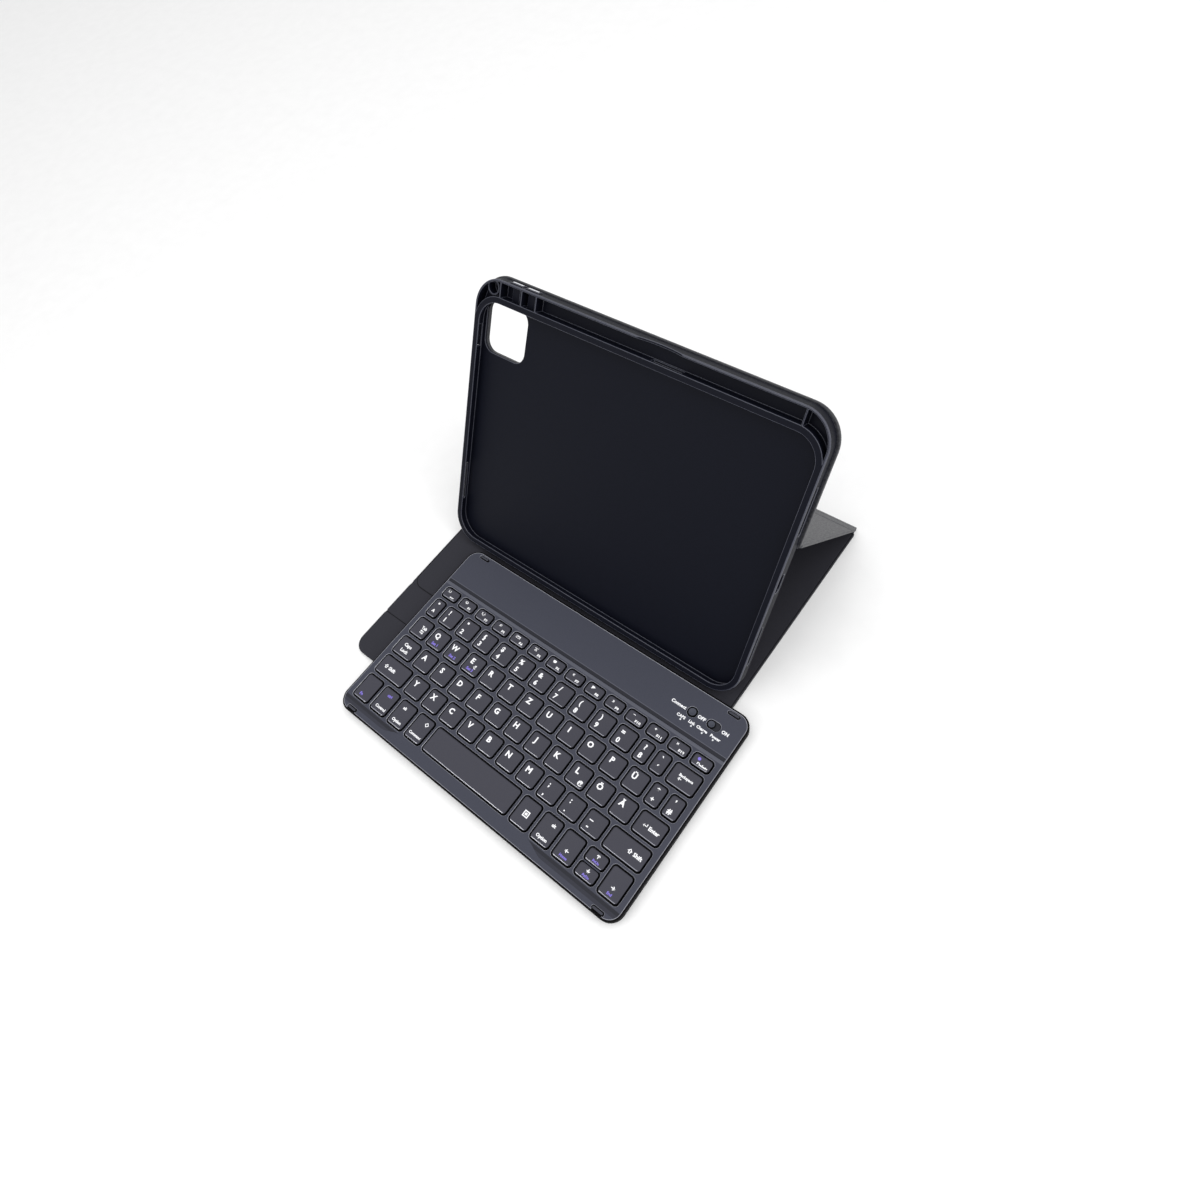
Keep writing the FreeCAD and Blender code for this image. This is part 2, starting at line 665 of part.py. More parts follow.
def bumper_places():
    """Centre and deck height of the four corner bumpers."""
    low = KB_T - SCOOP_DEPTH
    right = KB_W - BUMPER_X
    return [
        (BUMPER_X, KB_D - BUMPER_REAR, KB_T), (right, KB_D - BUMPER_REAR, KB_T),
        (BUMPER_X, BUMPER_FRONT, low), (right, BUMPER_FRONT, low),
    ]


def bumper(x, y, z0, z1, grow):
    half_l = BUMPER_L / 2 + grow
    half_w = BUMPER_W / 2 + grow
    return octagon(x - half_l, x + half_l, y - half_w, y + half_w, z0, z1, BUMPER_CORNER)


def screw_places():
    xs = (SCREW_X, KB_W / 2, KB_W - SCREW_X)
    return [(x, y) for x in xs for y in (SCREW_EDGE, KB_D - SCREW_EDGE)]


def scoop(length):
    """Lowered finger ledge at the front left corner; it slopes up at the keys and at its inner end."""
    out = -CUT_OVER
    low = KB_T - SCOOP_DEPTH
    over = KB_T + CUT_OVER
    across = [
        V(out, out, low), V(out, SCOOP_NEAR, low), V(out, SCOOP_FAR, KB_T), V(out, SCOOP_FAR, over),
        V(out, out, over),
    ]
    along = [
        V(out, out, low), V(length - SCOOP_RAMP, out, low), V(length, out, KB_T), V(length, out, over),
        V(out, out, over),
    ]
    across = Part.Face(Part.makePolygon(across + across[:1])).extrude(V(length + CUT_OVER, 0, 0))
    along = Part.Face(Part.makePolygon(along + along[:1])).extrude(V(0, SCOOP_FAR + CUT_OVER, 0))
    return across.common(along)


def make_top_case():
    case = prism(0, KB_W, 0, KB_D, 0, KB_T, KB_R)
    case = case.makeChamfer(KB_EDGE_CHAMFER, edges_at(case, KB_T))
    w = KB_WALL
    case = case.cut(prism(w, KB_W - w, w, KB_D - w, 0, DECK_LOW, KB_R - w))
    wells = [well for group in key_wells().values() for well in group]
    under = DECK_LOW - CUT_OVER
    over = KB_T + CUT_OVER
    cutters = [octagon(*well, under, over, WELL_CORNER) for well in wells]
    cutters.append(centred(KB_W / 2, GROOVE_Y, KB_W, GROOVE_W, KB_T - GROOVE_DEPTH, over))
    cutters.append(scoop(SCOOP_LEFT_LEN))
    cutters.append(scoop(SCOOP_RIGHT_LEN).mirror(V(KB_W / 2, 0, 0), V(1, 0, 0)))
    for x, y, z in bumper_places():
        cutters.append(bumper(x, y, z - BUMPER_SINK, over, BUMPER_GAP))
    cutters.append(cylinder(BUTTON_X, CONTROL_Y, BUTTON_R + BUTTON_GAP, under, over))
    cutters.append(lozenge(SWITCH_X, CONTROL_Y, SWITCH_L, SWITCH_W, KB_T - SWITCH_SINK, over))
    slot_l = STEM_L + SWITCH_TRAVEL + 2 * KNOB_GAP
    cutters.append(centred(SWITCH_X, CONTROL_Y, slot_l, STEM_W + 2 * KNOB_GAP, under, KB_T))
    for k in range(LIGHTS):
        cutters.append(post(LIGHT_X + k * LIGHT_PITCH, LIGHT_Y, LIGHT_R + LIGHT_GAP, under, over))
    socket_l = SOCKET_L + 2 * FIT
    window_d = 2 * KB_WALL + CUT_OVER
    cutters.append(centred(SOCKET_X, KB_D, socket_l, window_d, PCB_TOP - FIT, PCB_TOP + SOCKET_T + FIT))
    case = case.cut(Part.makeCompound(cutters))
    for x, y in screw_places():
        case = case.fuse(post(x, y, BOSS_R, KB_BASE_T, DECK_LOW))
    for x, y in screw_places():
        case = case.cut(post(x, y, SCREW_R + SCREW_GAP, KB_BASE_T, KB_BASE_T + SCREW_L))
    export("keyboard_top_case", case, KB_AT)


def make_base_cover():
    e = KB_WALL + 2 * FIT
    plate = prism(e, KB_W - e, e, KB_D - e, 0, KB_BASE_T, KB_R - e)
    screws = []
    for x, y in screw_places():
        plate = plate.cut(post(x, y, SCREW_HEAD_R + SCREW_GAP, 0, SCREW_HEAD_T))
        plate = plate.cut(post(x, y, SCREW_R + SCREW_GAP, 0, KB_BASE_T))
        head = post(x, y, SCREW_HEAD_R, 0, SCREW_HEAD_T)
        shank = post(x, y, SCREW_R, SCREW_HEAD_T, KB_BASE_T + SCREW_L - SCREW_GAP)
        screws.append(head.fuse(shank))
    export("keyboard_base_cover", plate, KB_AT)
    export("case_screws", Part.makeCompound(screws), KB_AT)


def dome(x, y):
    """Small raised dome of the sheet, with four leaning sides."""
    side = DOME_SIDE / 2
    top = DOME_TOP / 2
    wedge = Part.makeWedge(-side, 0, -side, -top, -top, side, DOME_H, side, top, top)
    wedge.Placement = FreeCAD.Placement(V(x, y, SHEET_TOP), FreeCAD.Rotation(V(1, 0, 0), 90))
    return wedge


def make_key_stack():
    """Support plate, switch membrane and dome sheet under the key field."""
    x0 = FIELD_LEFT - PLATE_MARGIN
    x1 = KB_W - FIELD_RIGHT + PLATE_MARGIN
    y0 = FIELD_FRONT - PLATE_MARGIN
    y1 = FIELD_REAR + PLATE_MARGIN
    export("key_support_plate", prism(x0, x1, y0, y1, KB_BASE_T, PLATE_TOP), KB_AT)
    export("switch_membrane", prism(x0, x1, y0, y1, PLATE_TOP, MEMBRANE_TOP), KB_AT)
    sheet = prism(x0, x1, y0, y1, MEMBRANE_TOP, SHEET_TOP)
    domes = []
    for wells in key_wells().values():
        for wx0, wx1, wy0, wy1 in wells:
            x = (wx0 + wx1) / 2
            y = (wy0 + wy1) / 2
            domes.append(dome(x, y))
    export("dome_sheet", sheet.fuse(domes), KB_AT)


def make_electronics():
    y0 = STRIP_LOW + STRIP_GAP
    battery = prism(BATTERY_X, BATTERY_X + BATTERY_L, y0, y0 + BATTERY_W, KB_BASE_T, KB_BASE_T + BATTERY_T)
    export("battery_cell", battery, KB_AT)
    x1 = KB_W - PCB_FROM_RIGHT
    y1 = KB_D - 2 * SCREW_EDGE
    board = prism(x1 - PCB_L, x1, STRIP_LOW, y1, KB_BASE_T, PCB_TOP)
    tongue_d = 2 * (KB_D - y1 - 2 * KB_WALL)
    tongue = centred(SOCKET_X, y1, SOCKET_L + 2 * KB_WALL, tongue_d, KB_BASE_T, PCB_TOP)
    export("circuit_board", board.fuse(tongue).removeSplitter(), KB_AT)
    x0 = SOCKET_X - SOCKET_L / 2
    x1 = SOCKET_X + SOCKET_L / 2
    y0 = KB_D - SOCKET_W
    socket = prism(x0, x1, y0, KB_D, PCB_TOP, PCB_TOP + SOCKET_T)
    w = SOCKET_WALL
    mouth = prism(x0 + w, x1 - w, y0 + w, KB_D, PCB_TOP + w, PCB_TOP + SOCKET_T - w)
    export("charge_socket", socket.cut(mouth), KB_AT)
    tact = centred(BUTTON_X, CONTROL_Y, TACT_SIDE, TACT_SIDE, PCB_TOP, PCB_TOP + TACT_T)
    export("connect_switch", tact, KB_AT)
    body_top = PCB_TOP + SWITCH_BODY_T
    body = centred(SWITCH_X, CONTROL_Y, SWITCH_BODY_L, SWITCH_BODY_W, PCB_TOP, body_top)
    export("slide_switch_body", body, KB_AT)


def make_controls():
    low = PCB_TOP + TACT_T + BUTTON_TRAVEL + FIT
    button = cylinder(BUTTON_X, CONTROL_Y, BUTTON_R, low, KB_T + BUTTON_PROUD)
    export("connect_button", button, KB_AT)
    x = SWITCH_X - SWITCH_TRAVEL / 2
    floor = KB_T - SWITCH_SINK + FIT
    knob = lozenge(x, CONTROL_Y, KNOB_L, KNOB_W, floor, KB_T + KNOB_PROUD)
    stem = centred(x, CONTROL_Y, STEM_L, STEM_W, PCB_TOP + SWITCH_BODY_T + FIT, floor)
    export("power_slider", knob.fuse(stem), KB_AT)
    guides = [post(LIGHT_X + k * LIGHT_PITCH, LIGHT_Y, LIGHT_R, PCB_TOP, KB_T) for k in range(LIGHTS)]
    export("light_guides", Part.makeCompound(guides), KB_AT)
    bumpers = []
    for x, y, z in bumper_places():
        bumpers.append(bumper(x, y, z - BUMPER_SINK, z + BUMPER_PROUD, 0.0))
    export("corner_bumpers", Part.makeCompound(bumpers), KB_AT)


os.makedirs("parts", exist_ok=True)
make_cover()
make_strip()
make_flap()
make_stand()
make_upper_back()
make_shell()
make_top_case()
make_base_cover()
make_key_stack()
make_electronics()
make_controls()
make_keys()
print("stand slope", round(math.degrees(STRUT_SLOPE), 3), "fold at", round(FOLD_Y, 3), round(FOLD_Z, 3))
print("rear fold", round(REAR_FOLD_Y, 3), "foot", round(FOOT_Y, 3), "keyboard rear", round(KB_REAR_Y, 3))
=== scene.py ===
# %% [markdown]
# # A folding keyboard case
# A soft folio stands open as a triangle on its own cover: a strut and a moulded shell lean on each
# other. A thin loose keyboard lies on the front of the cover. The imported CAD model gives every
# piece its place and its motion, and this lesson builds what the eye sees of them, piece by piece.

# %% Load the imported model
import json
import math

import bmesh
import bpy
from mathutils import Matrix, Vector

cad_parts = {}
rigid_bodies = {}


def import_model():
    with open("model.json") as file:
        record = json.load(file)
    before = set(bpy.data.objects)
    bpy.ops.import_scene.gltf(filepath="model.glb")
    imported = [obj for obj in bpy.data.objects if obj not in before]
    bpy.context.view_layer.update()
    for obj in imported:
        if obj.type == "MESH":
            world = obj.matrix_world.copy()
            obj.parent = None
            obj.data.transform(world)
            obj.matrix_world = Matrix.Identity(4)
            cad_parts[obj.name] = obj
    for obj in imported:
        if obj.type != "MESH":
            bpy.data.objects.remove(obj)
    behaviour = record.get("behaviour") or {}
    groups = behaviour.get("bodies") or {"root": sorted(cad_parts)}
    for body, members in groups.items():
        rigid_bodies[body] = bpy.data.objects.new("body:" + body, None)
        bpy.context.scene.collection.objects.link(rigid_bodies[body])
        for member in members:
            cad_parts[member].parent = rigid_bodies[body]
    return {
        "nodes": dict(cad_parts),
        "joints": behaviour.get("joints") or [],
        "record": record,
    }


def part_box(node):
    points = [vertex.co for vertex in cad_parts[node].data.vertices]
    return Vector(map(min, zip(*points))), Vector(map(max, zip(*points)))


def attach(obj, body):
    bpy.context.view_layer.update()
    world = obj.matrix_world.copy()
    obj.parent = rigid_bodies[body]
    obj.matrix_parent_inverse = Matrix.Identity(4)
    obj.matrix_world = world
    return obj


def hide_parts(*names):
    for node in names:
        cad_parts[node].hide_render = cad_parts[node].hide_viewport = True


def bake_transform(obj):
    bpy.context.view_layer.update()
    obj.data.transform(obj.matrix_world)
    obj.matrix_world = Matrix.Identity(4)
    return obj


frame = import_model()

MM = 0.001
SAME = 0.001 * MM
nodes = frame["nodes"]
joints = {j["name"]: j for j in frame["joints"]}
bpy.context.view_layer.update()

# %% [markdown]
# ## Working tools
# Almost every piece of this case is a flat moulding or a flat sandwich with rounded corners and
# soft edges. So a few tools are enough: a flat face with rounded corners, a way to raise it, and a
# way to step its top face inwards and up or down. Modifiers could do some of this, but an operator
# hands back the face that it made, so the next step can go on from there.

# %% Tools for flat mouldings
def sheet(bm, place, rows=1):
    """A flat unit square, in one or more rows of faces; a matrix gives it its size and place."""
    return bmesh.ops.create_grid(bm, x_segments=1, y_segments=rows, size=0.5, matrix=place)["verts"]


def faces_of(made):
    """The faces among all that an operator made."""
    return [g for g in made if isinstance(g, bmesh.types.BMFace)]


def rounded_face(bm, x0, x1, y0, y1, z, radius=0.0, segments=5):
    """A flat face with rounded corners; four radii run from the front left to the rear left."""
    middle = Matrix.Translation(((x0 + x1) / 2, (y0 + y1) / 2, z))
    size = Matrix.Diagonal((x1 - x0, y1 - y0, 1, 1))
    face = sheet(bm, middle @ size)[0].link_faces[0]
    radii = radius if isinstance(radius, tuple) else (radius,) * 4
    corners = [(x0, y0), (x1, y0), (x1, y1), (x0, y1)]
    for (x, y), r in zip(corners, radii):
        if r:
            vert = min(face.verts, key=lambda v: abs(v.co.x - x) + abs(v.co.y - y))
            made = bmesh.ops.bevel(bm, geom=[vert], offset=r, offset_type="OFFSET", segments=segments,
                                   profile=0.5, affect="VERTICES", material=-1)
            face = made["verts"][0].link_faces[0]
    return face


def raised(bm, face, height, paint=0):
    """Extrude a lone face into a closed block and return its top; the sides take the finish."""
    top = faces_of(bmesh.ops.extrude_face_region(bm, geom=[face])["geom"])[0]
    bmesh.ops.translate(bm, vec=(0, 0, height), verts=top.verts)
    for edge in top.edges:
        for side in edge.link_faces:
            if side != top:
                side.material_index = paint
    return top


def step(bm, face, inwards, upwards, paint=0):
    """Inset a level face and move the inner part; the face is the inner part afterwards."""
    made = bmesh.ops.inset_individual(bm, faces=[face], thickness=inwards, depth=0, use_even_offset=True)
    bmesh.ops.translate(bm, vec=(0, 0, upwards), verts=face.verts)
    for side in made["faces"]:
        side.material_index = paint
    return face


def soften(bm, face, radius, up=1, steps=3, paint=0):
    """Round the edge of a level face over, as a quarter circle of small steps."""
    turn = math.pi / 2 / steps
    for k in range(steps):
        inwards = radius * (math.cos(k * turn) - math.cos((k + 1) * turn))
        upwards = radius * (math.sin((k + 1) * turn) - math.sin(k * turn))
        step(bm, face, inwards, up * upwards, paint)
    return face


def opened(bm, face):
    """Take a face away and return the edges that were round it."""
    edges = list(face.edges)
    bmesh.ops.delete(bm, geom=[face], context="FACES_ONLY")
    return edges


# %% [markdown]
# ### From a mesh to a finished piece
# A finished piece needs its finishes, smooth shading that stops at sharp edges, and a body of the
# CAD model to ride on. On the large panels the flat faces alone set the shading, because their
# narrow rounded edges would tint them. Where a CAD node is a group of solids, such as a row of
# keys, the boxes of the solids say where each one goes.

# %% Tools for finished pieces
SMOOTH_ANGLE, CRISP_ANGLE = 38, 20


def piece(name, bm, body, finishes, stands_for=(), sharp=SMOOTH_ANGLE):
    """Make a finished object of a bmesh; it rides on a CAD body and can stand for CAD nodes."""
    bmesh.ops.recalc_face_normals(bm, faces=bm.faces)
    mesh = bpy.data.meshes.new(name)
    bm.to_mesh(mesh)
    bm.free()
    for paint in finishes if isinstance(finishes, list) else [finishes]:
        mesh.materials.append(paint)
    mesh.shade_smooth()
    mesh.set_sharp_from_angle(angle=math.radians(sharp))
    obj = bpy.data.objects.new(name, mesh)
    bpy.context.scene.collection.objects.link(obj)
    if body:
        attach(obj, body)
    if stands_for:
        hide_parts(*stands_for)
    return obj


def level(obj):
    """Let the large flat faces of a piece set its shading, so that no edge tints a panel."""
    obj.modifiers.new("level_faces", "WEIGHTED_NORMAL").keep_sharp = True
    return obj


def merged_copy(name):
    """The mesh of a CAD node as a bmesh, with its loose triangles joined."""
    bm = bmesh.new()
    bm.from_mesh(nodes[name].data)
    bmesh.ops.remove_doubles(bm, verts=bm.verts, dist=SAME)
    return bm


def solids(name):
    """Lowest and highest corner of each separate solid of a CAD node, from left to right."""
    bm = merged_copy(name)
    left = set(bm.verts)
    boxes = []
    while left:
        queue = [left.pop()]
        found = []
        while queue:
            vert = queue.pop()
            found.append(vert.co.copy())
            for edge in vert.link_edges:
                other = edge.other_vert(vert)
                if other in left:
                    left.remove(other)
                    queue.append(other)
        boxes.append((Vector([min(c[i] for c in found) for i in range(3)]),
                      Vector([max(c[i] for c in found) for i in range(3)])))
    bm.free()
    return sorted(boxes, key=lambda b: b[0].x)


def around(low, high, gap=0.0):
    """The four sides of a box, seen from above, each moved outwards by a gap."""
    return low.x - gap, high.x + gap, low.y - gap, high.y + gap


print("separate bumpers:", len(solids("corner_bumpers")))

# %% [markdown]
# ## Finishes
# Everything here is grey, and the finishes tell the pieces apart: a pebbled coated fabric outside,
# a fine soft lining inside, a satin rubbery shell, and moulded plastic with a fine spark-eroded
# texture on the keyboard. A picture could be laid on, but a pattern in object space has no seams
# and drives the colour, the roughness and the relief at once.

# %% How a finish is made
PATTERN_LOW, PATTERN_HIGH = 0.25, 0.75
NOISE_DETAIL = 4


def srgb(*screen):
    """A colour as it is read off a screen, from 0 to 255, as scene values."""
    shares = [c / 255 for c in screen]
    return (*(c / 12.92 if c < 0.04045 else ((c + 0.055) / 1.055) ** 2.4 for c in shares), 1.0)


def finish(name, low, high, rough, scale, depth, shine=0.5, metal=0.0, pebbled=False, stretch=(1, 1, 1)):
    """A material whose fine pattern runs between two colours and two roughnesses, with a relief."""
    material = bpy.data.materials.new(name)
    material.use_nodes = True
    add, link = material.node_tree.nodes.new, material.node_tree.links.new
    shader = material.node_tree.nodes["Principled BSDF"]
    shader.inputs["Specular IOR Level"].default_value = shine
    shader.inputs["Metallic"].default_value = metal
    place = add("ShaderNodeTexCoord")
    mapping = add("ShaderNodeMapping")
    mapping.inputs["Scale"].default_value = [scale * s for s in stretch]
    link(place.outputs["Object"], mapping.inputs["Vector"])
    if pebbled:
        pattern = add("ShaderNodeTexVoronoi")
        pattern.feature = "SMOOTH_F1"
        height = pattern.outputs["Distance"]
    else:
        pattern = add("ShaderNodeTexNoise")
        pattern.inputs["Detail"].default_value = NOISE_DETAIL
        height = pattern.outputs["Fac"]
    pattern.inputs["Scale"].default_value = 1
    link(mapping.outputs["Vector"], pattern.inputs["Vector"])
    colour = add("ShaderNodeValToRGB")
    first, last = colour.color_ramp.elements
    first.position, first.color = PATTERN_LOW, low
    last.position, last.color = PATTERN_HIGH, high
    link(height, colour.inputs["Fac"])
    link(colour.outputs["Color"], shader.inputs["Base Color"])
    gloss = add("ShaderNodeMapRange")
    gloss.inputs["From Min"].default_value = PATTERN_LOW
    gloss.inputs["From Max"].default_value = PATTERN_HIGH
    gloss.inputs["To Min"].default_value = rough[0]
    gloss.inputs["To Max"].default_value = rough[1]
    link(height, gloss.inputs["Value"])
    link(gloss.outputs["Result"], shader.inputs["Roughness"])
    relief = add("ShaderNodeBump")
    relief.inputs["Distance"].default_value = depth * MM
    link(height, relief.inputs["Height"])
    link(relief.outputs["Normal"], shader.inputs["Normal"])
    return material


print("a middle grey as a scene value:", round(srgb(128, 128, 128)[0], 3))

# %% [markdown]
# ### The finishes of this case
# Each line gives the two colours of a pattern, its two roughnesses, how fine it is and how deep in
# millimetres. The deck has painted shade and painted highlight in a few tones of one plastic,
# because the slopes of its ledges and the shoulder of its groove catch less or more light than its
# top; near-black is painted shade in gaps and walls, and the light edges and pad faces are painted
# highlights. The CAD pieces that nothing covers, inside the keyboard and the panels, get the finish
# that their record names.

# %% The finishes of this case
SKIN = finish("coated_fabric", srgb(35, 36, 41), srgb(55, 56, 62), (0.42, 0.6), 850, 0.09, pebbled=True)
LINING = finish("soft_lining", srgb(42, 42, 48), srgb(51, 51, 58), (0.75, 0.9), 2600, 0.03, shine=0.2)
# Painted shade: a darker lining colour for the crease lines of the lining.
CREASE_SHADE = finish("lining_painted_crease_shade", srgb(20, 20, 24), srgb(27, 27, 32), (0.7, 0.85), 2600, 0.02, shine=0.2)
SHELL = finish("satin_rubber", srgb(11, 13, 22), srgb(17, 19, 30), (0.45, 0.57), 1500, 0.012, shine=0.09)
# Painted highlight: a lighter colour on the rounded edges of the shell, where they catch the light.
SHELL_EDGE_HIGHLIGHT = finish("rubber_edge_painted_highlight", srgb(54, 56, 68), srgb(70, 72, 85), (0.25, 0.35), 1500, 0.006)
DECK = finish("textured_plastic", srgb(58, 60, 71), srgb(64, 66, 78), (0.46, 0.58), 2400, 0.01, shine=0.2)
CAPS = finish("key_plastic", srgb(59, 59, 68), srgb(66, 66, 75), (0.44, 0.55), 2400, 0.008, shine=0.2)
# Painted highlight on a glossy edge: the gloss catches the strip lamp, and the light colour is painted on the
# rims of the wells and the fronts of the caps.
PAINTED_EDGE_HIGHLIGHT = finish("edge_painted_highlight", srgb(136, 137, 147), srgb(152, 153, 163), (0.13, 0.18), 2400, 0.003, shine=0.9)
# Painted shade: near-black for the gaps, walls, sides and seat floors that lie in shade.
PAINTED_SHADE_BLACK = finish("painted_shade_black", srgb(3, 3, 5), srgb(7, 7, 9), (0.6, 0.7), 2400, 0.008, shine=0.1)
# Painted highlight: the paler tone of the shoulder in front of the groove.
PAINTED_SHOULDER_HIGHLIGHT = finish("plastic_painted_highlight", srgb(76, 78, 89), srgb(84, 86, 97), (0.36, 0.46), 2400, 0.008, shine=0.3)
# Painted shade: the deep tone of the ledge slopes, the groove and the switch slot.
PAINTED_DEEP_SHADE = finish("plastic_painted_deep_shade", srgb(34, 35, 42), srgb(40, 41, 49), (0.46, 0.58), 2400, 0.01, shine=0.2)
# Painted shade: the half tone of the ledge slopes nearer the front.
PAINTED_HALF_SHADE = finish("plastic_painted_half_shade", srgb(45, 46, 55), srgb(51, 52, 62), (0.46, 0.58), 2400, 0.01, shine=0.2)
WHITE_INK = finish("white_ink", srgb(244, 245, 248), srgb(252, 252, 254), (0.4, 0.5), 3000, 0.002)
VIOLET_INK = finish("violet_ink", srgb(120, 104, 205), srgb(136, 120, 220), (0.4, 0.5), 3000, 0.002)
BUTTON = finish("button_plastic", srgb(60, 63, 74), srgb(67, 70, 81), (0.35, 0.45), 2400, 0.006, shine=0.25)
RUBBER = finish("bumper_rubber", srgb(58, 59, 67), srgb(66, 67, 76), (0.6, 0.75), 2000, 0.015, shine=0.2)
# Painted glint: a pale colour on the raised faces of the press pads.
PAD_GLINT = finish("pad_painted_glint", srgb(196, 197, 203), srgb(214, 215, 220), (0.25, 0.35), 1500, 0.006)
LIGHT = finish("light_guide", srgb(232, 236, 238), srgb(246, 248, 250), (0.2, 0.3), 3000, 0.002)
BOARD = finish("fibreboard", srgb(140, 132, 118), srgb(164, 155, 140), (0.8, 0.95), 900, 0.06)
GLUE = finish("adhesive_film", srgb(198, 196, 188), srgb(212, 210, 202), (0.3, 0.45), 600, 0.02)
STEEL = finish("pressed_steel", srgb(150, 152, 155), srgb(178, 180, 183), (0.25, 0.4), 400, 0.006, metal=1.0,
               stretch=(1, 14, 1))
NICKEL = finish("nickel_plate", srgb(176, 176, 174), srgb(200, 200, 198), (0.2, 0.32), 900, 0.004, metal=1.0)
FILM = finish("black_film", srgb(20, 20, 24), srgb(28, 28, 33), (0.5, 0.65), 1200, 0.01)
CIRCUIT = finish("solder_mask", srgb(14, 70, 38), srgb(22, 90, 50), (0.35, 0.5), 700, 0.02)
FOIL = finish("cell_foil", srgb(176, 178, 182), srgb(200, 202, 206), (0.25, 0.45), 260, 0.05, metal=0.8)
FINISHES = {
    "outer_skin": SKIN, "lining": LINING, "fibreboard": BOARD, "adhesive": GLUE, "magnet": NICKEL,
    "soft_shell": SHELL, "keyboard_case": DECK, "keycaps": CAPS, "steel_plate": STEEL,
    "membrane_film": FILM, "silicone": FILM, "circuit": CIRCUIT, "battery_foil": FOIL,
    "socket_steel": NICKEL, "switch_plastic": BUTTON, "light_guide": LIGHT, "bumper_rubber": RUBBER,
}
for part in frame["record"]["subparts"]:
    mesh = nodes[part["node"]].data
    mesh.materials.clear()
    mesh.materials.append(FINISHES[part["material_slot"]])
print("finishes:", len(FINISHES))

# %% [markdown]
# ## Key caps
# A cap is a shallow moulded tile with rounded corners and leaning sides, painted black as a painted
# shade of the gap. A narrow facet runs round its top, glossy and painted light at the front as a
# painted highlight, and the middle is dished very slightly. Each cap is built on the box of its CAD
# solid, so it sits in its own well with an even gap.

# %% Key caps
CAP_CORNER = 2.4 * MM
CAP_FOOT = 0.4 * MM
CAP_DRAFT = 0.65 * MM
CAP_EDGE = 0.15 * MM
CAP_FACET = 0.42 * MM
FACET_RISE = 0.46 * CAP_FACET
CAP_DISH = 0.12 * MM
DISH_STEPS = ((0.35 * MM, 0.3 * CAP_DISH), (0.55 * MM, 0.7 * CAP_DISH))
KEYS = [n for n in nodes if n.endswith(("_key", "_keys", "space_bar"))]
TOP, RIM_HIGHLIGHT_PAINT, BLACK_SHADE_PAINT, DEEP_SHADE_PAINT, SHOULDER_HIGHLIGHT_PAINT, HALF_SHADE_PAINT = range(6)


def key_cap(bm, low, high):
    """One cap on the box of its solid: leaning sides painted black as painted shade, a facet round the top
    whose front is a painted highlight, and a dish.
    """
    top = raised(bm, rounded_face(bm, *around(low, high), low.z, CAP_CORNER), CAP_FOOT, BLACK_SHADE_PAINT)
    step(bm, top, CAP_DRAFT, high.z - low.z - CAP_FOOT - CAP_EDGE - FACET_RISE, BLACK_SHADE_PAINT)
    soften(bm, top, CAP_EDGE)
    front = low.y + CAP_DRAFT + CAP_EDGE + CAP_FACET
    # Only the front of the facet keeps the light colour, a painted highlight; the rest takes the cap's
    # colour.
    for edge in step(bm, top, CAP_FACET, FACET_RISE, RIM_HIGHLIGHT_PAINT).edges:
        for face in edge.link_faces:
            if face.material_index == RIM_HIGHLIGHT_PAINT and face.calc_center_median().y > front:
                face.material_index = TOP
    for inwards, downwards in DISH_STEPS:
        step(bm, top, inwards, -downwards)


for name in KEYS:
    bm = bmesh.new()
    for low, high in solids(name):
        key_cap(bm, low, high)
    piece("cap_" + name, bm, name, [CAPS, PAINTED_EDGE_HIGHLIGHT, PAINTED_SHADE_BLACK], [name], sharp=CRISP_ANGLE)
print("key nodes:", len(KEYS))

# %% [markdown]
# ## Lettering
# The marks on the caps and the deck are printed, so each is a film of ink too thin to be felt. A
# text curve with a very small extrusion gives that film, and its outline is spread a little,
# because ink spreads too. The curve is made a mesh before it is put in its place.

# %% Lettering
INK_LIFT = 0.03 * MM
INK_T = 0.06 * MM
LETTER_BOLD, SIGN_BOLD = 0.055, 0.03
SIGNS = "☼☀⌕⌨✂●«▶»−+×"
CAPITAL_SHARE = 0.7


def letters(bm, text, x, y, z, height):
    """Add lettering of that capital height to a bmesh, centred on x and y, with the top of its ink at z."""
    curve = bpy.data.curves.new("letters", "FONT")
    curve.body = text
    curve.size = height / CAPITAL_SHARE
    curve.align_x = "CENTER"
    curve.align_y = "CENTER"
    curve.resolution_u = 2
    curve.offset = (SIGN_BOLD if text in SIGNS else LETTER_BOLD) * height
    curve.extrude = INK_T / 2
    helper = bpy.data.objects.new("letters", curve)
    mesh = bpy.data.meshes.new_from_object(helper)
    mesh.transform(Matrix.Translation((x, y, z - INK_T / 2)))
    bm.from_mesh(mesh)
    bpy.data.objects.remove(helper)
    bpy.data.curves.remove(curve)
    bpy.data.meshes.remove(mesh)


def mark(text, x, y, height, ink="white"):
    """One printed mark: x from the cap's left edge, y down from its rear edge, in millimetres."""
    return text, x * MM, y * MM, height * MM, ink


def letter(text):
    """A letter key."""
    return [mark(text, 4.9, 5.4, 3.8)]


def pair(upper, lower):
    """A key with one sign above another."""
    return [mark(upper, 4.5, 4.6, 3.4), mark(lower, 4.5, 10.7, 3.4)]


def function(sign, text):
    """A key of the low function row."""
    return [mark(sign, 5.0, 2.8, 2.3), mark(text, 9.7, 6.3, 2.1)]


print("signs of the function row:", len(SIGNS))

# %% [markdown]
# ### Legends of the keys
# The table follows the CAD nodes, and in each row the keys from left to right. Only generic
# letters, digits, signs and words are printed. The second functions are violet, so every node has
# one piece for each ink that it needs, and the piece rides with its key.

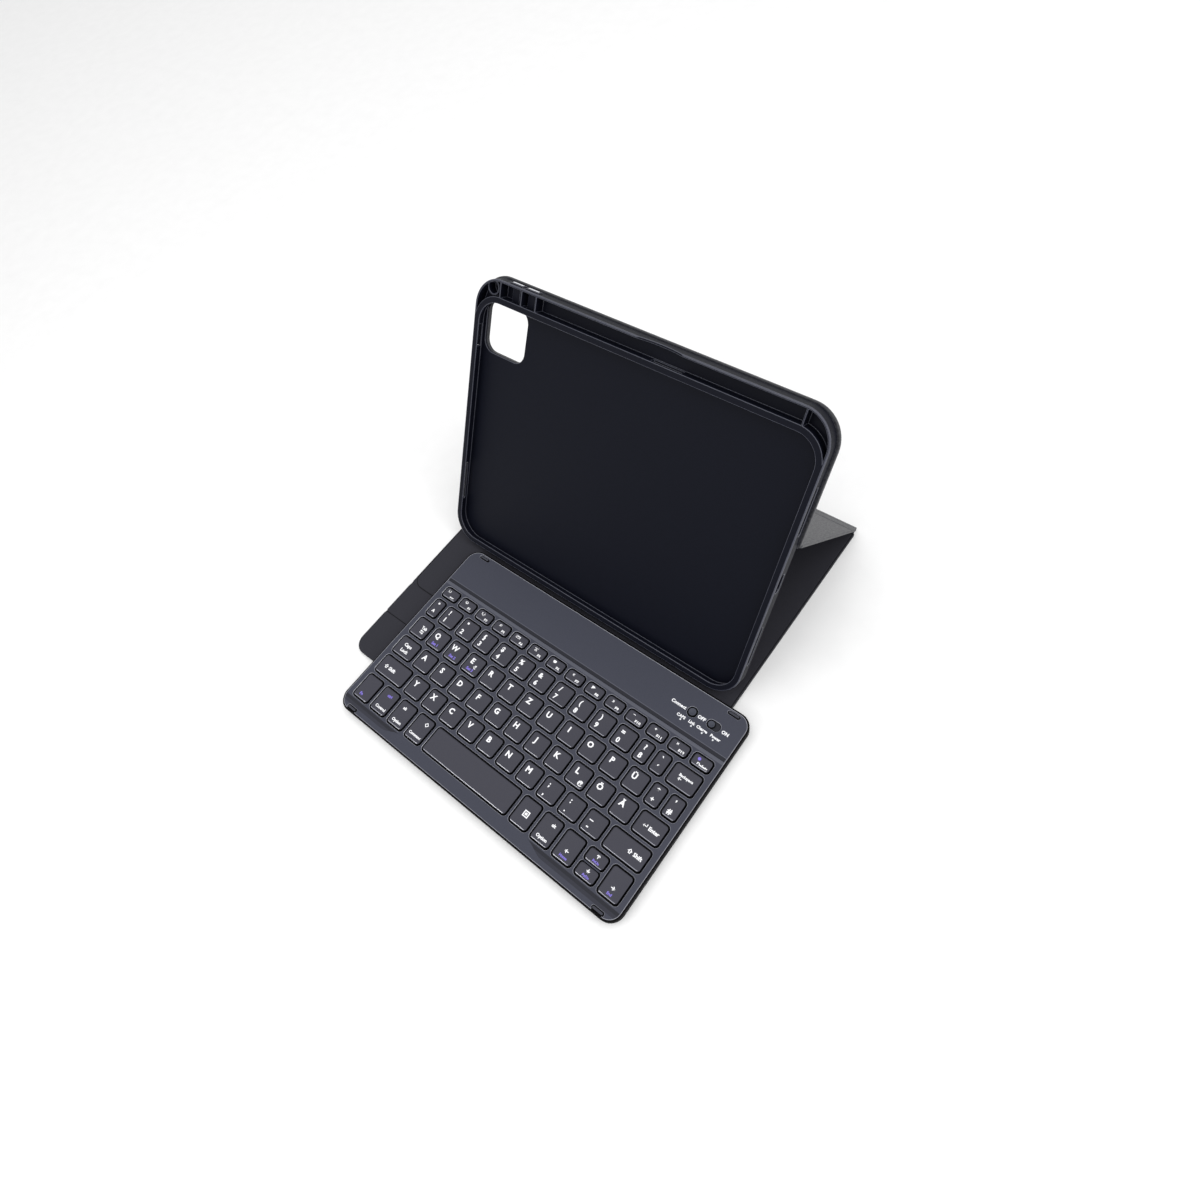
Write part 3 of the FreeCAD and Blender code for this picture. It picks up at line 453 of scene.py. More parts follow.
# %% Legends of the keys
LETTER_EXTRAS = {
    "Q": [mark("Set 1", 7.4, 11.4, 2.0, "violet")],
    "W": [mark("Set 2", 7.4, 11.4, 2.0, "violet")],
    "E": [mark("€", 9.4, 8.4, 2.4), mark("Set 3", 7.0, 11.4, 2.0, "violet")],
    "L": [mark("@", 11.0, 10.8, 2.6)],
}
LEGENDS = {
    "function_keys": [[mark("▢", 4.4, 2.8, 1.9), mark("esc", 9.2, 6.4, 2.0)]]
    + [function(sign, "F%d" % (k + 1)) for k, sign in enumerate(SIGNS)]
    + [[mark("●", 4.5, 3.2, 1.9, "violet"), mark("Delete", 8.6, 6.4, 2.1)]],
    "caret_key": [pair("°", "^")],
    "number_keys": [pair(a, b) for a, b in zip('!"§$%&/()=?`', "1234567890ß´")],
    "backspace_key": [[mark("Backspace", 10.8, 6.3, 1.7), mark("←", 7.5, 8.8, 2.2)]],
    "tab_key": [[mark("Tab", 9.4, 6.6, 2.2), mark("⇆", 9.4, 10.0, 2.4)]],
    "top_letter_keys": [letter(c) + LETTER_EXTRAS.get(c, []) for c in "QWERTZUIOPÜ"]
    + [pair("*", "+"), pair("'", "#")],
    "caps_lock_key": [[mark("Caps", 9.0, 5.6, 2.4), mark("Lock", 9.0, 10.2, 2.4)]],
    "home_letter_keys": [letter(c) + LETTER_EXTRAS.get(c, []) for c in "ASDFGHJKLÖÄ"],
    "enter_key": [[mark("↵ Enter", 10.8, 8.0, 2.4)]],
    "left_shift_key": [[mark("⇧ Shift", 10.0, 8.0, 2.4)]],
    "bottom_letter_keys": [letter(c) for c in "YXCVBNM"] + [pair(";", ","), pair(":", "."), pair("_", "-")],
    "right_shift_key": [[mark("⇧ Shift", 20.3, 7.5, 2.4)]],
    "fn_key": [[mark("Fn", 6.0, 15.2, 2.0, "violet")]],
    "control_key": [[mark("ctrl", 8.0, 5.0, 2.0, "violet"), mark("Control", 8.0, 14.8, 2.0)]],
    "left_option_key": [[mark("alt", 6.0, 5.0, 2.0), mark("Option", 7.2, 15.0, 2.0)]],
    "command_key": [[mark("◇", 9.8, 5.0, 2.2), mark("Command", 7.6, 14.6, 1.8)]],
    "symbol_key": [[mark("▣", 8.0, 10.0, 3.6)]],
    "right_option_key": [[mark("alt", 9.4, 5.0, 2.0), mark("Option", 7.4, 15.0, 2.0)]],
    "left_arrow_key": [[mark("←", 7.6, 12.0, 2.4), mark("Home", 7.6, 15.8, 1.6, "violet")]],
    "up_arrow_key": [[mark("↑", 7.6, 3.2, 2.4), mark("PgUp", 8.0, 6.6, 1.6, "violet")]],
    "down_arrow_key": [[mark("↓", 7.6, 3.2, 2.4), mark("PgDn", 8.0, 6.6, 1.6, "violet")]],
    "right_arrow_key": [[mark("→", 7.6, 12.0, 2.4), mark("End", 7.6, 15.8, 1.6, "violet")]],
}
INKS = {"white": WHITE_INK, "violet": VIOLET_INK}
for name, keys in LEGENDS.items():
    for ink, paint in INKS.items():
        bm = bmesh.new()
        for (low, high), marks in zip(solids(name), keys):
            for text, x, y, height, colour in marks:
                if colour == ink:
                    letters(bm, text, low.x + x, high.y - y, high.z - CAP_DISH + INK_LIFT, height)
        if bm.faces:
            piece(f"{ink}_marks_{name}", bm, name, paint)
        else:
            bm.free()
print("marked key nodes:", len(LEGENDS))

# %% [markdown]
# ## Keyboard deck
# The deck is one injection moulding: a shallow tray turned upside down, rounded over all round. A
# solid block with holes cut by booleans would do, but its rims could not be softened cleanly. So
# the tray is left open above and below, every opening is made as a ring of its own, and the level
# faces between the rings are filled last.

# %% Keyboard deck
KB_LOW, KB_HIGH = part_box("keyboard_top_case")
KB_CORNER = 10.0 * MM
KB_EDGE = 1.1 * MM
KB_LINE = 0.25 * MM
KB_WALL = 1.2 * MM
DECK_T = 1.4 * MM
CEILING = KB_HIGH.z - DECK_T
RIM = 0.26 * MM
bm = bmesh.new()
base = rounded_face(bm, *around(KB_LOW, KB_HIGH), KB_LOW.z, KB_CORNER, segments=9)
# The walls, the rounded edge and a thin line round the top are painted black, a painted shade.
top = raised(bm, base, KB_HIGH.z - KB_LOW.z - KB_EDGE, BLACK_SHADE_PAINT)
soften(bm, top, KB_EDGE, paint=BLACK_SHADE_PAINT)
step(bm, top, KB_LINE, 0, BLACK_SHADE_PAINT)
# A rim round the top is painted light, a painted highlight.
step(bm, top, RIM, 0, RIM_HIGHLIGHT_PAINT)
opened(bm, top)
step(bm, base, KB_WALL, 0, BLACK_SHADE_PAINT)
step(bm, base, 0, CEILING - KB_LOW.z, BLACK_SHADE_PAINT)
opened(bm, base)
print("faces of the tray's walls:", len(bm.faces))

# %% [markdown]
# ### Key wells and groove
# Every key has a well, a little larger than its cap, with a glossy rim painted light as a painted
# highlight, and walls painted black as a painted shade. A groove parts the keys from the blank strip
# behind them. Both start as a flat face at the height of the deck, which is stepped inwards and down.

# %% Key wells and groove
WELL_GAP = 0.85 * MM
WELL_CORNER = 3.1 * MM
GROOVE_FRONT = KB_LOW.y + 116.7 * MM
GROOVE_REAR = KB_LOW.y + 120.1 * MM
GROOVE_END = KB_EDGE + KB_LINE + RIM + 0.02 * MM
GROOVE_STEPS = ((0.45 * MM, 0.15 * MM, SHOULDER_HIGHLIGHT_PAINT), (0.35 * MM, 0.3 * MM, DEEP_SHADE_PAINT))


def well(bm, x0, x1, y0, y1, radius, depth, floor=None, gap=0.0, segments=5):
    """An opening with a softened rim painted light, a painted highlight, and walls painted black, a painted
    shade; floor is the finish of its floor, gap a line of painted shade round that.
    """
    face = rounded_face(bm, x0, x1, y0, y1, KB_HIGH.z, radius, segments=segments)
    step(bm, face, RIM, -RIM, RIM_HIGHLIGHT_PAINT)
    step(bm, face, 0, RIM - depth, BLACK_SHADE_PAINT)
    if gap:
        step(bm, face, gap, 0, BLACK_SHADE_PAINT)
    if floor is None:
        opened(bm, face)
    else:
        face.material_index = floor


wells = [box for name in KEYS for box in solids(name)]
for low, high in wells:
    well(bm, *around(low, high, WELL_GAP), WELL_CORNER, DECK_T)
groove = (KB_LOW.x + GROOVE_END, KB_HIGH.x - GROOVE_END, GROOVE_FRONT, GROOVE_REAR)
face = rounded_face(bm, *groove, KB_HIGH.z)
# The shoulder of the groove is painted paler, a painted highlight, and its lower wall and floor darker, a
# painted shade.
for inwards, downwards, paint in GROOVE_STEPS:
    step(bm, face, inwards, -downwards, paint)
face.material_index = DEEP_SHADE_PAINT
print("key wells:", len(wells))

# %% [markdown]
# ### Openings for the controls
# The button, the slide switch, the lights and the bumpers each have their own opening, a little
# larger than the piece, so that a dark line of shade runs round it; its walls are painted black, a
# painted shade. The slot of the switch is longer by its travel, and it has a floor, as the seats of
# the bumpers do; both floors are painted dark, a painted shade.

# %% Openings for the controls
ROUND = 0.48
BUTTON_GAP = 0.75 * MM
SWITCH_GAP = 0.65 * MM
SWITCH_DEPTH = 0.9 * MM
SWITCH_LINE = 0.4 * MM
SWITCH_TRAVEL = joints["power_switch"]["range_m"][1]
LIGHT_GAP = 0.2 * MM
SEAT_GAP = 0.8 * MM
SEAT_WIDER = 0.05 * MM
SEAT_DEPTH = 0.4 * MM
low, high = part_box("connect_button")
size = high.x - low.x + 2 * BUTTON_GAP
well(bm, *around(low, high, BUTTON_GAP), ROUND * size, DECK_T, segments=8)
low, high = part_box("power_slider")
x0, x1 = low.x - SWITCH_GAP, high.x + SWITCH_TRAVEL + SWITCH_GAP
y0, y1 = low.y - SWITCH_GAP, high.y + SWITCH_GAP
well(bm, x0, x1, y0, y1, ROUND * (y1 - y0), SWITCH_DEPTH, DEEP_SHADE_PAINT, SWITCH_LINE, segments=8)
for low, high in solids("light_guides"):
    size = high.x - low.x + 2 * LIGHT_GAP
    well(bm, *around(low, high, LIGHT_GAP), ROUND * size, DECK_T, segments=4)
for low, high in solids("corner_bumpers"):
    y0, y1 = low.y - SEAT_WIDER, high.y + SEAT_WIDER
    size = high.y - low.y + 2 * SEAT_WIDER
    well(bm, low.x - SEAT_GAP, high.x + SEAT_GAP, y0, y1, ROUND * size, SEAT_DEPTH, BLACK_SHADE_PAINT, segments=6)
print("deck faces with all openings:", len(bm.faces))

# %% [markdown]
# ### Level top and shoulder
# Now the level top is filled between all the rings. In front of the groove it falls off a little,
# and this shoulder is painted as a paler band, a painted highlight. One cut across the deck gives the
# band its front edge, and the points at the groove are lowered.

# %% Level top and shoulder
SHOULDER_WIDTH = 1.8 * MM
SHOULDER_DROP = 0.12 * MM
SHOULDER = GROOVE_FRONT - SHOULDER_WIDTH


def open_edges(bm, z):
    """The open edges of a mesh that lie at a height."""
    return [e for e in bm.edges if e.is_boundary and all(abs(v.co.z - z) < SAME for v in e.verts)]


def cut(bm, faces, place, normal):
    """Cut some faces of a mesh along a plane."""
    geom = {g for f in faces for g in (f, *f.edges, *f.verts)}
    bmesh.ops.bisect_plane(bm, geom=list(geom), plane_co=place, plane_no=normal)


ring = open_edges(bm, KB_HIGH.z)
bmesh.ops.triangle_fill(bm, use_beauty=True, edges=ring, normal=(0, 0, 1))
strip = [f for f in bm.faces if f.material_index == TOP and max(v.co.y for v in f.verts) > SHOULDER]
cut(bm, strip, (0, SHOULDER, 0), (0, 1, 0))
# The shoulder band takes a paler colour, a painted highlight.
for face in bm.faces:
    if face.material_index == TOP and SHOULDER < face.calc_center_median().y < GROOVE_FRONT:
        face.material_index = SHOULDER_HIGHLIGHT_PAINT
for vert in bm.verts:
    if abs(vert.co.y - GROOVE_FRONT) < SAME and abs(vert.co.z - KB_HIGH.z) < SAME:
        vert.co.z -= SHOULDER_DROP
print("edges round the openings:", len(ring))

# %% [markdown]
# ### Finger ledges
# At both front corners the deck is a little lower, so that a finger gets under the edge of the
# closed case. The slope down to the ledge is long and tapers off towards the middle, and its steep
# faces are painted darker, a painted shade, so from above it reads as a dark crescent. The filled top
# is cut along straight lines and along the curved crest of the slope, which gives it the points that
# the slope needs, and these are then lowered.

# %% Finger ledges
LEDGE_NEAR, LEDGE_MIDDLE, LEDGE_FAR = (KB_LOW.y + y * MM for y in (4.8, 7.0, 9.2))
LEDGE_LEFT, LEDGE_RIGHT, LEDGE_RAMP = 57.0 * MM, 74.0 * MM, 15.0 * MM
LEDGE_DEPTH = 0.7 * MM
LEDGE_TILT = 0.1
RAMP_CUTS = 8
ALL_ACROSS = (KB_LOW.x - MM, KB_HIGH.x + MM)


def eased(part):
    """A share from 0 to 1 that starts and ends gently."""
    return part * part * (3 - 2 * part)


def ledge_depth(place):
    """How far the deck is lowered: by the slope at the keys or the ramp at the inner end."""
    ramp = max(LEDGE_LEFT + KB_LOW.x - place.x, LEDGE_RIGHT - KB_HIGH.x + place.x) / LEDGE_RAMP
    slope = (LEDGE_FAR - place.y) / (LEDGE_FAR - LEDGE_NEAR)
    return LEDGE_DEPTH * max(min(eased(min(max(ramp, 0), 1)), slope, 1), 0)


def cut_front(bm, place, normal, between=ALL_ACROSS):
    """Cut the front of the deck along a line, where its faces lie between two places across."""
    faces = [f for f in bm.faces if min(v.co.y for v in f.verts) < LEDGE_FAR
             and min(between) < f.calc_center_median().x < max(between)]
    cut(bm, faces, place, normal)


for y in (LEDGE_NEAR, LEDGE_MIDDLE, LEDGE_FAR):
    cut_front(bm, (0, y, 0), (0, 1, 0))
for start, ramp in ((KB_LOW.x + LEDGE_LEFT, -LEDGE_RAMP), (KB_HIGH.x - LEDGE_RIGHT, LEDGE_RAMP)):
    crest = []
    for k in range(RAMP_CUTS + 1):
        part = k / RAMP_CUTS
        crest.append(Vector((start + part * ramp, LEDGE_FAR - eased(part) * (LEDGE_FAR - LEDGE_NEAR), 0)))
        cut_front(bm, crest[-1], (1, 0, 0))
    for a, b in zip(crest, crest[1:]):
        cut_front(bm, a, (b - a).cross(Vector((0, 0, 1))), (a.x, b.x))
for vert in bm.verts:
    if vert.co.z > KB_HIGH.z - KB_EDGE - SAME:
        vert.co.z -= ledge_depth(vert.co)
# Steep faces of the slopes are painted darker, a painted shade: deeper near the keys, a half shade nearer the
# front.
for face in bm.faces:
    face.normal_update()
    middle = face.calc_center_median()
    if face.material_index == TOP and middle.y < LEDGE_FAR and abs(face.normal.y) > LEDGE_TILT:
        face.material_index = DEEP_SHADE_PAINT if middle.y > LEDGE_MIDDLE else HALF_SHADE_PAINT
print("deck faces with the ledges:", len(bm.faces))

# %% [markdown]
# ### Socket mouth and underside
# The charge socket looks out of the rear wall, so the wall needs a mouth. Both faces of the wall
# are cut along the four sides of the mouth, the two middle pieces are taken out, and the two rims
# are bridged. Only then is the underside filled like the top, because the upper edge of the mouth
# is part of its ring. After that the deck is a closed mesh.

# %% Socket mouth and underside
SOCKET_GAP = 0.2 * MM
low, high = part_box("charge_socket")
gap = Vector((SOCKET_GAP, 0, SOCKET_GAP))
low, high = low - gap, high + gap
rims = []
for wall in (KB_HIGH.y, KB_HIGH.y - KB_WALL):
    for place, normal in ((low, (1, 0, 0)), (high, (1, 0, 0)), (low, (0, 0, 1)), (high, (0, 0, 1))):
        cut(bm, [f for f in bm.faces if all(abs(v.co.y - wall) < SAME for v in f.verts)], place, normal)
    middle = Vector(((low.x + high.x) / 2, wall, (low.z + high.z) / 2))
    rims += opened(bm, min(bm.faces, key=lambda f: (f.calc_center_median() - middle).length))
made = bmesh.ops.bridge_loops(bm, edges=rims)["faces"]
lower = open_edges(bm, CEILING)
made += faces_of(bmesh.ops.triangle_fill(bm, use_beauty=True, edges=lower, normal=(0, 0, -1))["geom"])
# The mouth and the underside are painted black, a painted shade.
for face in made:
    face.material_index = BLACK_SHADE_PAINT
bmesh.ops.dissolve_degenerate(bm, edges=bm.edges, dist=SAME)
deck = piece("keyboard_deck", bm, "keyboard", [DECK, PAINTED_EDGE_HIGHLIGHT, PAINTED_SHADE_BLACK, PAINTED_DEEP_SHADE, PAINTED_SHOULDER_HIGHLIGHT, PAINTED_HALF_SHADE], ["keyboard_top_case"],
             sharp=CRISP_ANGLE)
print("deck faces:", len(deck.data.polygons))

# %% [markdown]
# ## Controls and bumpers
# The connect button and the slide switch are small mouldings in the blank strip. The bumpers are
# bits of rubber glued into seats at the corners, so that the closed case does not press on the
# keys. All are made alike: a rounded face is raised, its edge is rounded over, and rings on its top
# give a dark outline and a dish. The sides, the rounded edge and the outline are painted black, a
# painted shade of the gap round each piece.

# %% Controls and bumpers
PLAIN, DARK_SHADE_PAINT = range(2)
BUTTON_EDGE, SLIDER_EDGE, BUMPER_EDGE = 0.4 * MM, 0.3 * MM, 0.25 * MM
# The first ring of button and switch is painted black, a painted shade.
BUTTON_RINGS = ((0.25 * MM, 0, DARK_SHADE_PAINT), (0.9 * MM, 0, PLAIN), (0.3 * MM, -0.15 * MM, PLAIN))
SLIDER_RINGS = ((0.3 * MM, 0, DARK_SHADE_PAINT), (0.4 * MM, 0, PLAIN), (0.4 * MM, -0.2 * MM, PLAIN))
SLIDER_ROUND = 0.49
SLIDER_FOOT = KB_HIGH.z - 0.85 * MM
BUMPER_SLIMMER = 0.65 * MM


def knob(bm, sides, foot, head, corner, edge, rings=(), segments=8):
    """A small rounded moulding between two heights; rings step its top inwards and up or down. Its sides and
    rounded edge are painted black, a painted shade.
    """
    top = raised(bm, rounded_face(bm, *sides, foot, corner, segments=segments), head - foot - edge, DARK_SHADE_PAINT)
    soften(bm, top, edge, paint=DARK_SHADE_PAINT)
    for inwards, upwards, paint in rings:
        step(bm, top, inwards, upwards, paint)


low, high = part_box("connect_button")
bm = bmesh.new()
knob(bm, around(low, high), CEILING, high.z, ROUND * (high.x - low.x), BUTTON_EDGE, BUTTON_RINGS)
piece("connect_cap", bm, "connect", [BUTTON, PAINTED_SHADE_BLACK], ["connect_button"])
low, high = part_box("power_slider")
bm = bmesh.new()
knob(bm, around(low, high), SLIDER_FOOT, high.z, SLIDER_ROUND * (high.y - low.y), SLIDER_EDGE, SLIDER_RINGS)
piece("slider_knob", bm, "slider", [BUTTON, PAINTED_SHADE_BLACK], ["power_slider"])
bm = bmesh.new()
for low, high in solids("corner_bumpers"):
    y0, y1 = low.y + BUMPER_SLIMMER, high.y - BUMPER_SLIMMER
    knob(bm, (low.x, high.x, y0, y1), low.z, high.z, ROUND * (y1 - y0), BUMPER_EDGE, segments=6)
bumpers = piece("rubber_bumpers", bm, "keyboard", [RUBBER, PAINTED_SHADE_BLACK], ["corner_bumpers"])
print("bumper faces:", len(bumpers.data.polygons))

# %% [markdown]
# ### Labels of the controls
# The words beside the controls are printed on the deck in white, like the legends. Each has its
# place from the front left corner of the keyboard and its height, in millimetres.

# %% Labels of the controls
LABELS = [
    ("Connect", 200.5, 133.0, 2.2), ("OFF", 218.0, 133.0, 2.2), ("ON", 235.8, 132.8, 2.2),
    ("CAPS", 206.3, 127.0, 1.9), ("Link", 214.4, 127.1, 1.9), ("Charge", 222.2, 127.0, 1.9),
    ("Power", 232.2, 127.0, 1.9),
]
bm = bmesh.new()
for text, x, y, height in LABELS:
    letters(bm, text, KB_LOW.x + x * MM, KB_LOW.y + y * MM, KB_HIGH.z + INK_LIFT, height * MM)
piece("deck_labels", bm, "keyboard", WHITE_INK)
print("labels:", len(LABELS))

# %% [markdown]
# ## Folio panels
# Each panel is a sandwich: coated fabric turned in over a board, and a soft lining on the inside.
# The board shows through the lining as a slightly raised field with rounded corners, and a welded
# line follows the edge on the outside. Cloth could be simulated, but the boards keep it flat, so
# stepped slabs are enough.

# %% How a panel is made
HEM = 6.1 * MM
SKIN_TOP = 1.8 * MM
INSIDE = 2.1 * MM
PANEL_T = 2.5 * MM
SKIN_EDGE = 0.7 * MM
TURN_IN = 0.3 * MM
WELD_STEPS = ((1.2 * MM, 0), (0.2 * MM, 0.15 * MM), (0.3 * MM, 0), (0.2 * MM, -0.15 * MM))
LINING_IN = 0.7 * MM
LINING_EDGE = 0.05 * MM
FIELD_LINE = 0.8 * MM
FIELD_LIFT = 0.02 * MM
FIELD_EDGE = 0.2 * MM
FOLIO_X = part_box("flap_skin")[1].x


def welded_line(bm, base):
    """A shallow pressed line that follows the edge of an outer face."""
    for inwards, upwards in WELD_STEPS:
        step(bm, base, inwards, upwards)


def skin_slab(bm, y0, y1, radii):
    """The outer fabric of a panel, turned over its edges; its outer face is at z = 0."""
    base = rounded_face(bm, -FOLIO_X, FOLIO_X, y0, y1, SKIN_EDGE, radii, segments=10)
    top = raised(bm, base, SKIN_TOP - SKIN_EDGE - TURN_IN)
    soften(bm, top, TURN_IN)
    soften(bm, base, SKIN_EDGE, up=-1)
    welded_line(bm, base)


def lining_slab(bm, y0, y1, radii):
    """The plain lining of a panel; its edge is rounded over."""
    x = FOLIO_X - LINING_IN
    base = rounded_face(bm, -x, x, y0, y1, SKIN_TOP - LINING_EDGE, radii, segments=10)
    soften(bm, raised(bm, base, INSIDE - SKIN_TOP), LINING_EDGE)


def lining_field(bm, inset, y0, y1, radii):
    """The field of a board that shows through the lining, with a dark line round it; the line and the sides
    of the field are painted dark, a painted shade of the crease.
    """
    face = rounded_face(bm, inset - FOLIO_X, FOLIO_X - inset, y0, y1, SKIN_TOP, radii, segments=8)
    top = raised(bm, face, INSIDE - SKIN_TOP + FIELD_LIFT, DARK_SHADE_PAINT)
    step(bm, top, FIELD_LINE, 0, DARK_SHADE_PAINT)
    step(bm, top, 0, PANEL_T - INSIDE - FIELD_LIFT - FIELD_EDGE, DARK_SHADE_PAINT)
    soften(bm, top, FIELD_EDGE)


print("folio width in mm:", round(2 * FOLIO_X / MM, 1))

# %% [markdown]
# ### Cover, strip and flap
# These three lie flat on the table, one in front of the other. The skins stop short of the fold
# lines, where the boards end. The linings run on to the fold lines, so that only a fine crease
# shows between two panels. The cover alone has a field.

# %% Cover, strip and flap
FLAP_CORNER = 10.0 * MM
FIELD_CORNER = 9.0 * MM
PANEL_CORNER = 3.0 * MM
FIELD_IN = 0.75 * MM
FIELD_REAR = 4.0 * MM
FOLDS = ("stand_fold", "shell_fold", "strip_fold", "flap_fold")
PIVOT = {name: Vector(joints[name]["pos_m"]) for name in FOLDS}
CREASE_GAP = {"strip_fold": 0.03 * MM, "flap_fold": 0.35 * MM}
PANELS = {
    "cover": (0, 0, PANEL_CORNER, PANEL_CORNER), "strip": 0.0, "flap": (FLAP_CORNER, FLAP_CORNER, 0, 0),
}
for name, radii in PANELS.items():
    low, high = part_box(name + "_lining")
    y0, y1 = low.y - HEM, high.y + HEM
    bm = bmesh.new()
    skin_slab(bm, y0, y1, radii)
    level(piece(name + "_outside", bm, name, SKIN, [name + "_skin"]))
    bm = bmesh.new()
    for fold, gap in CREASE_GAP.items():
        if joints[fold]["parent"] == name:
            y0 = PIVOT[fold].y + gap
        if joints[fold]["child"] == name:
            y1 = PIVOT[fold].y - gap
    lining_slab(bm, y0, y1, radii)
    if name == "cover":
        lining_field(bm, FIELD_IN, y0, high.y + FIELD_REAR, (FIELD_CORNER, FIELD_CORNER, 0, 0))
    level(piece(name + "_inside", bm, name, [LINING, CREASE_SHADE], [name + "_lining"]))
print("flat panels:", len(PANELS))

# %% [markdown]
# ### Strut
# The strut is the spine and the lower back in one skin, with a crease between them. It is built
# flat, like the other panels, and then turned up about the rear fold line. Cutting the slab along
# three lines and pushing the middle one in makes the crease.

# %% Strut
CREASE = 17.9 * MM
CREASE_HALF = 0.7 * MM
CREASE_DEPTH = 0.5 * MM
FIELD_CREASE = 1.5 * MM
FIELD_END = 2.0 * MM


def span(name, direction):
    """How far a CAD node reaches along a direction."""
    reach = [v.co.dot(direction) for v in nodes[name].data.vertices]
    return min(reach), max(reach)


def placed(bm, place):
    """Move a whole mesh to its place."""
    bmesh.ops.transform(bm, matrix=place, verts=bm.verts)
    return bm


along = (PIVOT["shell_fold"] - PIVOT["stand_fold"]).normalized()
STRUT = Matrix.Translation(PIVOT["stand_fold"]) @ Matrix.Rotation(math.atan2(along.z, along.y), 4, "X")
STRUT = STRUT @ Matrix.Translation((0, 0, -PANEL_T / 2))
start = PIVOT["stand_fold"].dot(along)
y0, y1 = (reach - start for reach in span("stand_lining", along))
y0, y1 = y0 - HEM, y1 + HEM
bm = bmesh.new()
skin_slab(bm, y0, y1, PANEL_CORNER)
for offset in (-CREASE_HALF, 0, CREASE_HALF):
    cut(bm, bm.faces, (0, CREASE + offset, 0), (0, 1, 0))
for vert in bm.verts:
    if abs(vert.co.y - CREASE) < SAME and vert.co.z < SKIN_TOP / 2:
        vert.co.z += CREASE_DEPTH
level(piece("stand_outside", placed(bm, STRUT), "stand", SKIN, ["stand_skin"]))
bm = bmesh.new()
lining_slab(bm, y0, y1, PANEL_CORNER)
lining_field(bm, HEM, y0 + FIELD_END, CREASE - FIELD_CREASE, 0.0)
lining_field(bm, HEM, CREASE + FIELD_CREASE, y1 - FIELD_END, 0.0)
level(piece("stand_inside", placed(bm, STRUT), "stand", [LINING, CREASE_SHADE], ["stand_lining"]))
print("strut slope:", round(math.degrees(math.asin(along.z)), 1))

# %% [markdown]
# ## Upper back
# The upper back is a panel that is glued to the shell and stands out a little all round as a
# flange. It has a window in one corner. Panel and window are made as two rings, and the two faces
# between them are filled, as on the deck.

# %% Upper back
BACK_HEM = 3.1 * MM
BACK_CORNER = 20.9 * MM
WINDOW = (-121.0 * MM, -86.0 * MM, 143.95 * MM, 177.95 * MM)
WINDOW_CORNER = 8.0 * MM
X_AXIS = Vector((1, 0, 0))
UP = -Vector(joints["volume_up_press"]["axis"])
OUT = X_AXIS.cross(UP)
foot, crown = span("tpu_shell", UP)
rear, front = span("tpu_shell", OUT)
LEAN = Matrix.Translation(UP * foot + OUT * rear) @ Matrix.Rotation(math.atan2(UP.z, UP.y), 4, "X")
y0, y1 = (reach - foot for reach in span("upper_back_board", UP))
y0, y1 = y0 - BACK_HEM, y1 + BACK_HEM
bm = bmesh.new()
base = rounded_face(bm, -FOLIO_X, FOLIO_X, y0, y1, SKIN_EDGE - PANEL_T, (0, 0, BACK_CORNER, BACK_CORNER),
                    segments=14)
top = raised(bm, base, PANEL_T - 2 * SKIN_EDGE)
soften(bm, top, SKIN_EDGE)
soften(bm, base, SKIN_EDGE, up=-1)
welded_line(bm, base)
inner = opened(bm, top)
outer = opened(bm, base)
base = rounded_face(bm, *WINDOW, -PANEL_T, WINDOW_CORNER, segments=8)
top = raised(bm, base, PANEL_T)
inner += opened(bm, top)
outer += opened(bm, base)
bmesh.ops.triangle_fill(bm, use_beauty=True, edges=inner, normal=(0, 0, 1))
bmesh.ops.triangle_fill(bm, use_beauty=True, edges=outer, normal=(0, 0, -1))
level(piece("back_outside", placed(bm, LEAN), "shell", SKIN, ["upper_back_skin"]))
print("shell, height and depth in mm:", round((crown - foot) / MM, 1), round((front - rear) / MM, 1))

# %% [markdown]
# ## Soft shell and press pads
# The shell is one soft moulding: a tray with a lip that snaps over an edge, a pencil trough above
# it, and slots in its walls. Its CAD shape is right as it is, so a copy of it is merged, and only
# its sharp edges are rounded over. They are painted lighter, a painted highlight, because they catch
# the light. The press pads are made in the same way, with a raised face painted pale, a painted glint.

# %% Soft shell and press pads
FLAT_ANGLE, SHARP_ANGLE = math.radians(0.5), math.radians(40)
SHELL_ROUND, PAD_ROUND = 0.35 * MM, 0.3 * MM
PAD_FRAME, PAD_RISE = 1.0 * MM, 0.1 * MM
ROUND_HIGHLIGHT_PAINT, GLINT_FACE_PAINT = 1, 2


def softened_copy(name, radius, segments):
    """A copy of a CAD node with its sharp edges rounded over; these take the second finish, a painted
    highlight.
    """
    bm = merged_copy(name)
    bmesh.ops.dissolve_limit(bm, angle_limit=FLAT_ANGLE, verts=bm.verts, edges=bm.edges)
    sharp = [e for e in bm.edges if e.is_manifold and e.calc_face_angle() > SHARP_ANGLE]
    made = bmesh.ops.bevel(bm, geom=sharp, offset=radius, offset_type="OFFSET", segments=segments,
                           profile=0.5, affect="EDGES", material=-1, clamp_overlap=False)
    for face in made["faces"]:
        face.material_index = ROUND_HIGHLIGHT_PAINT
    return bm


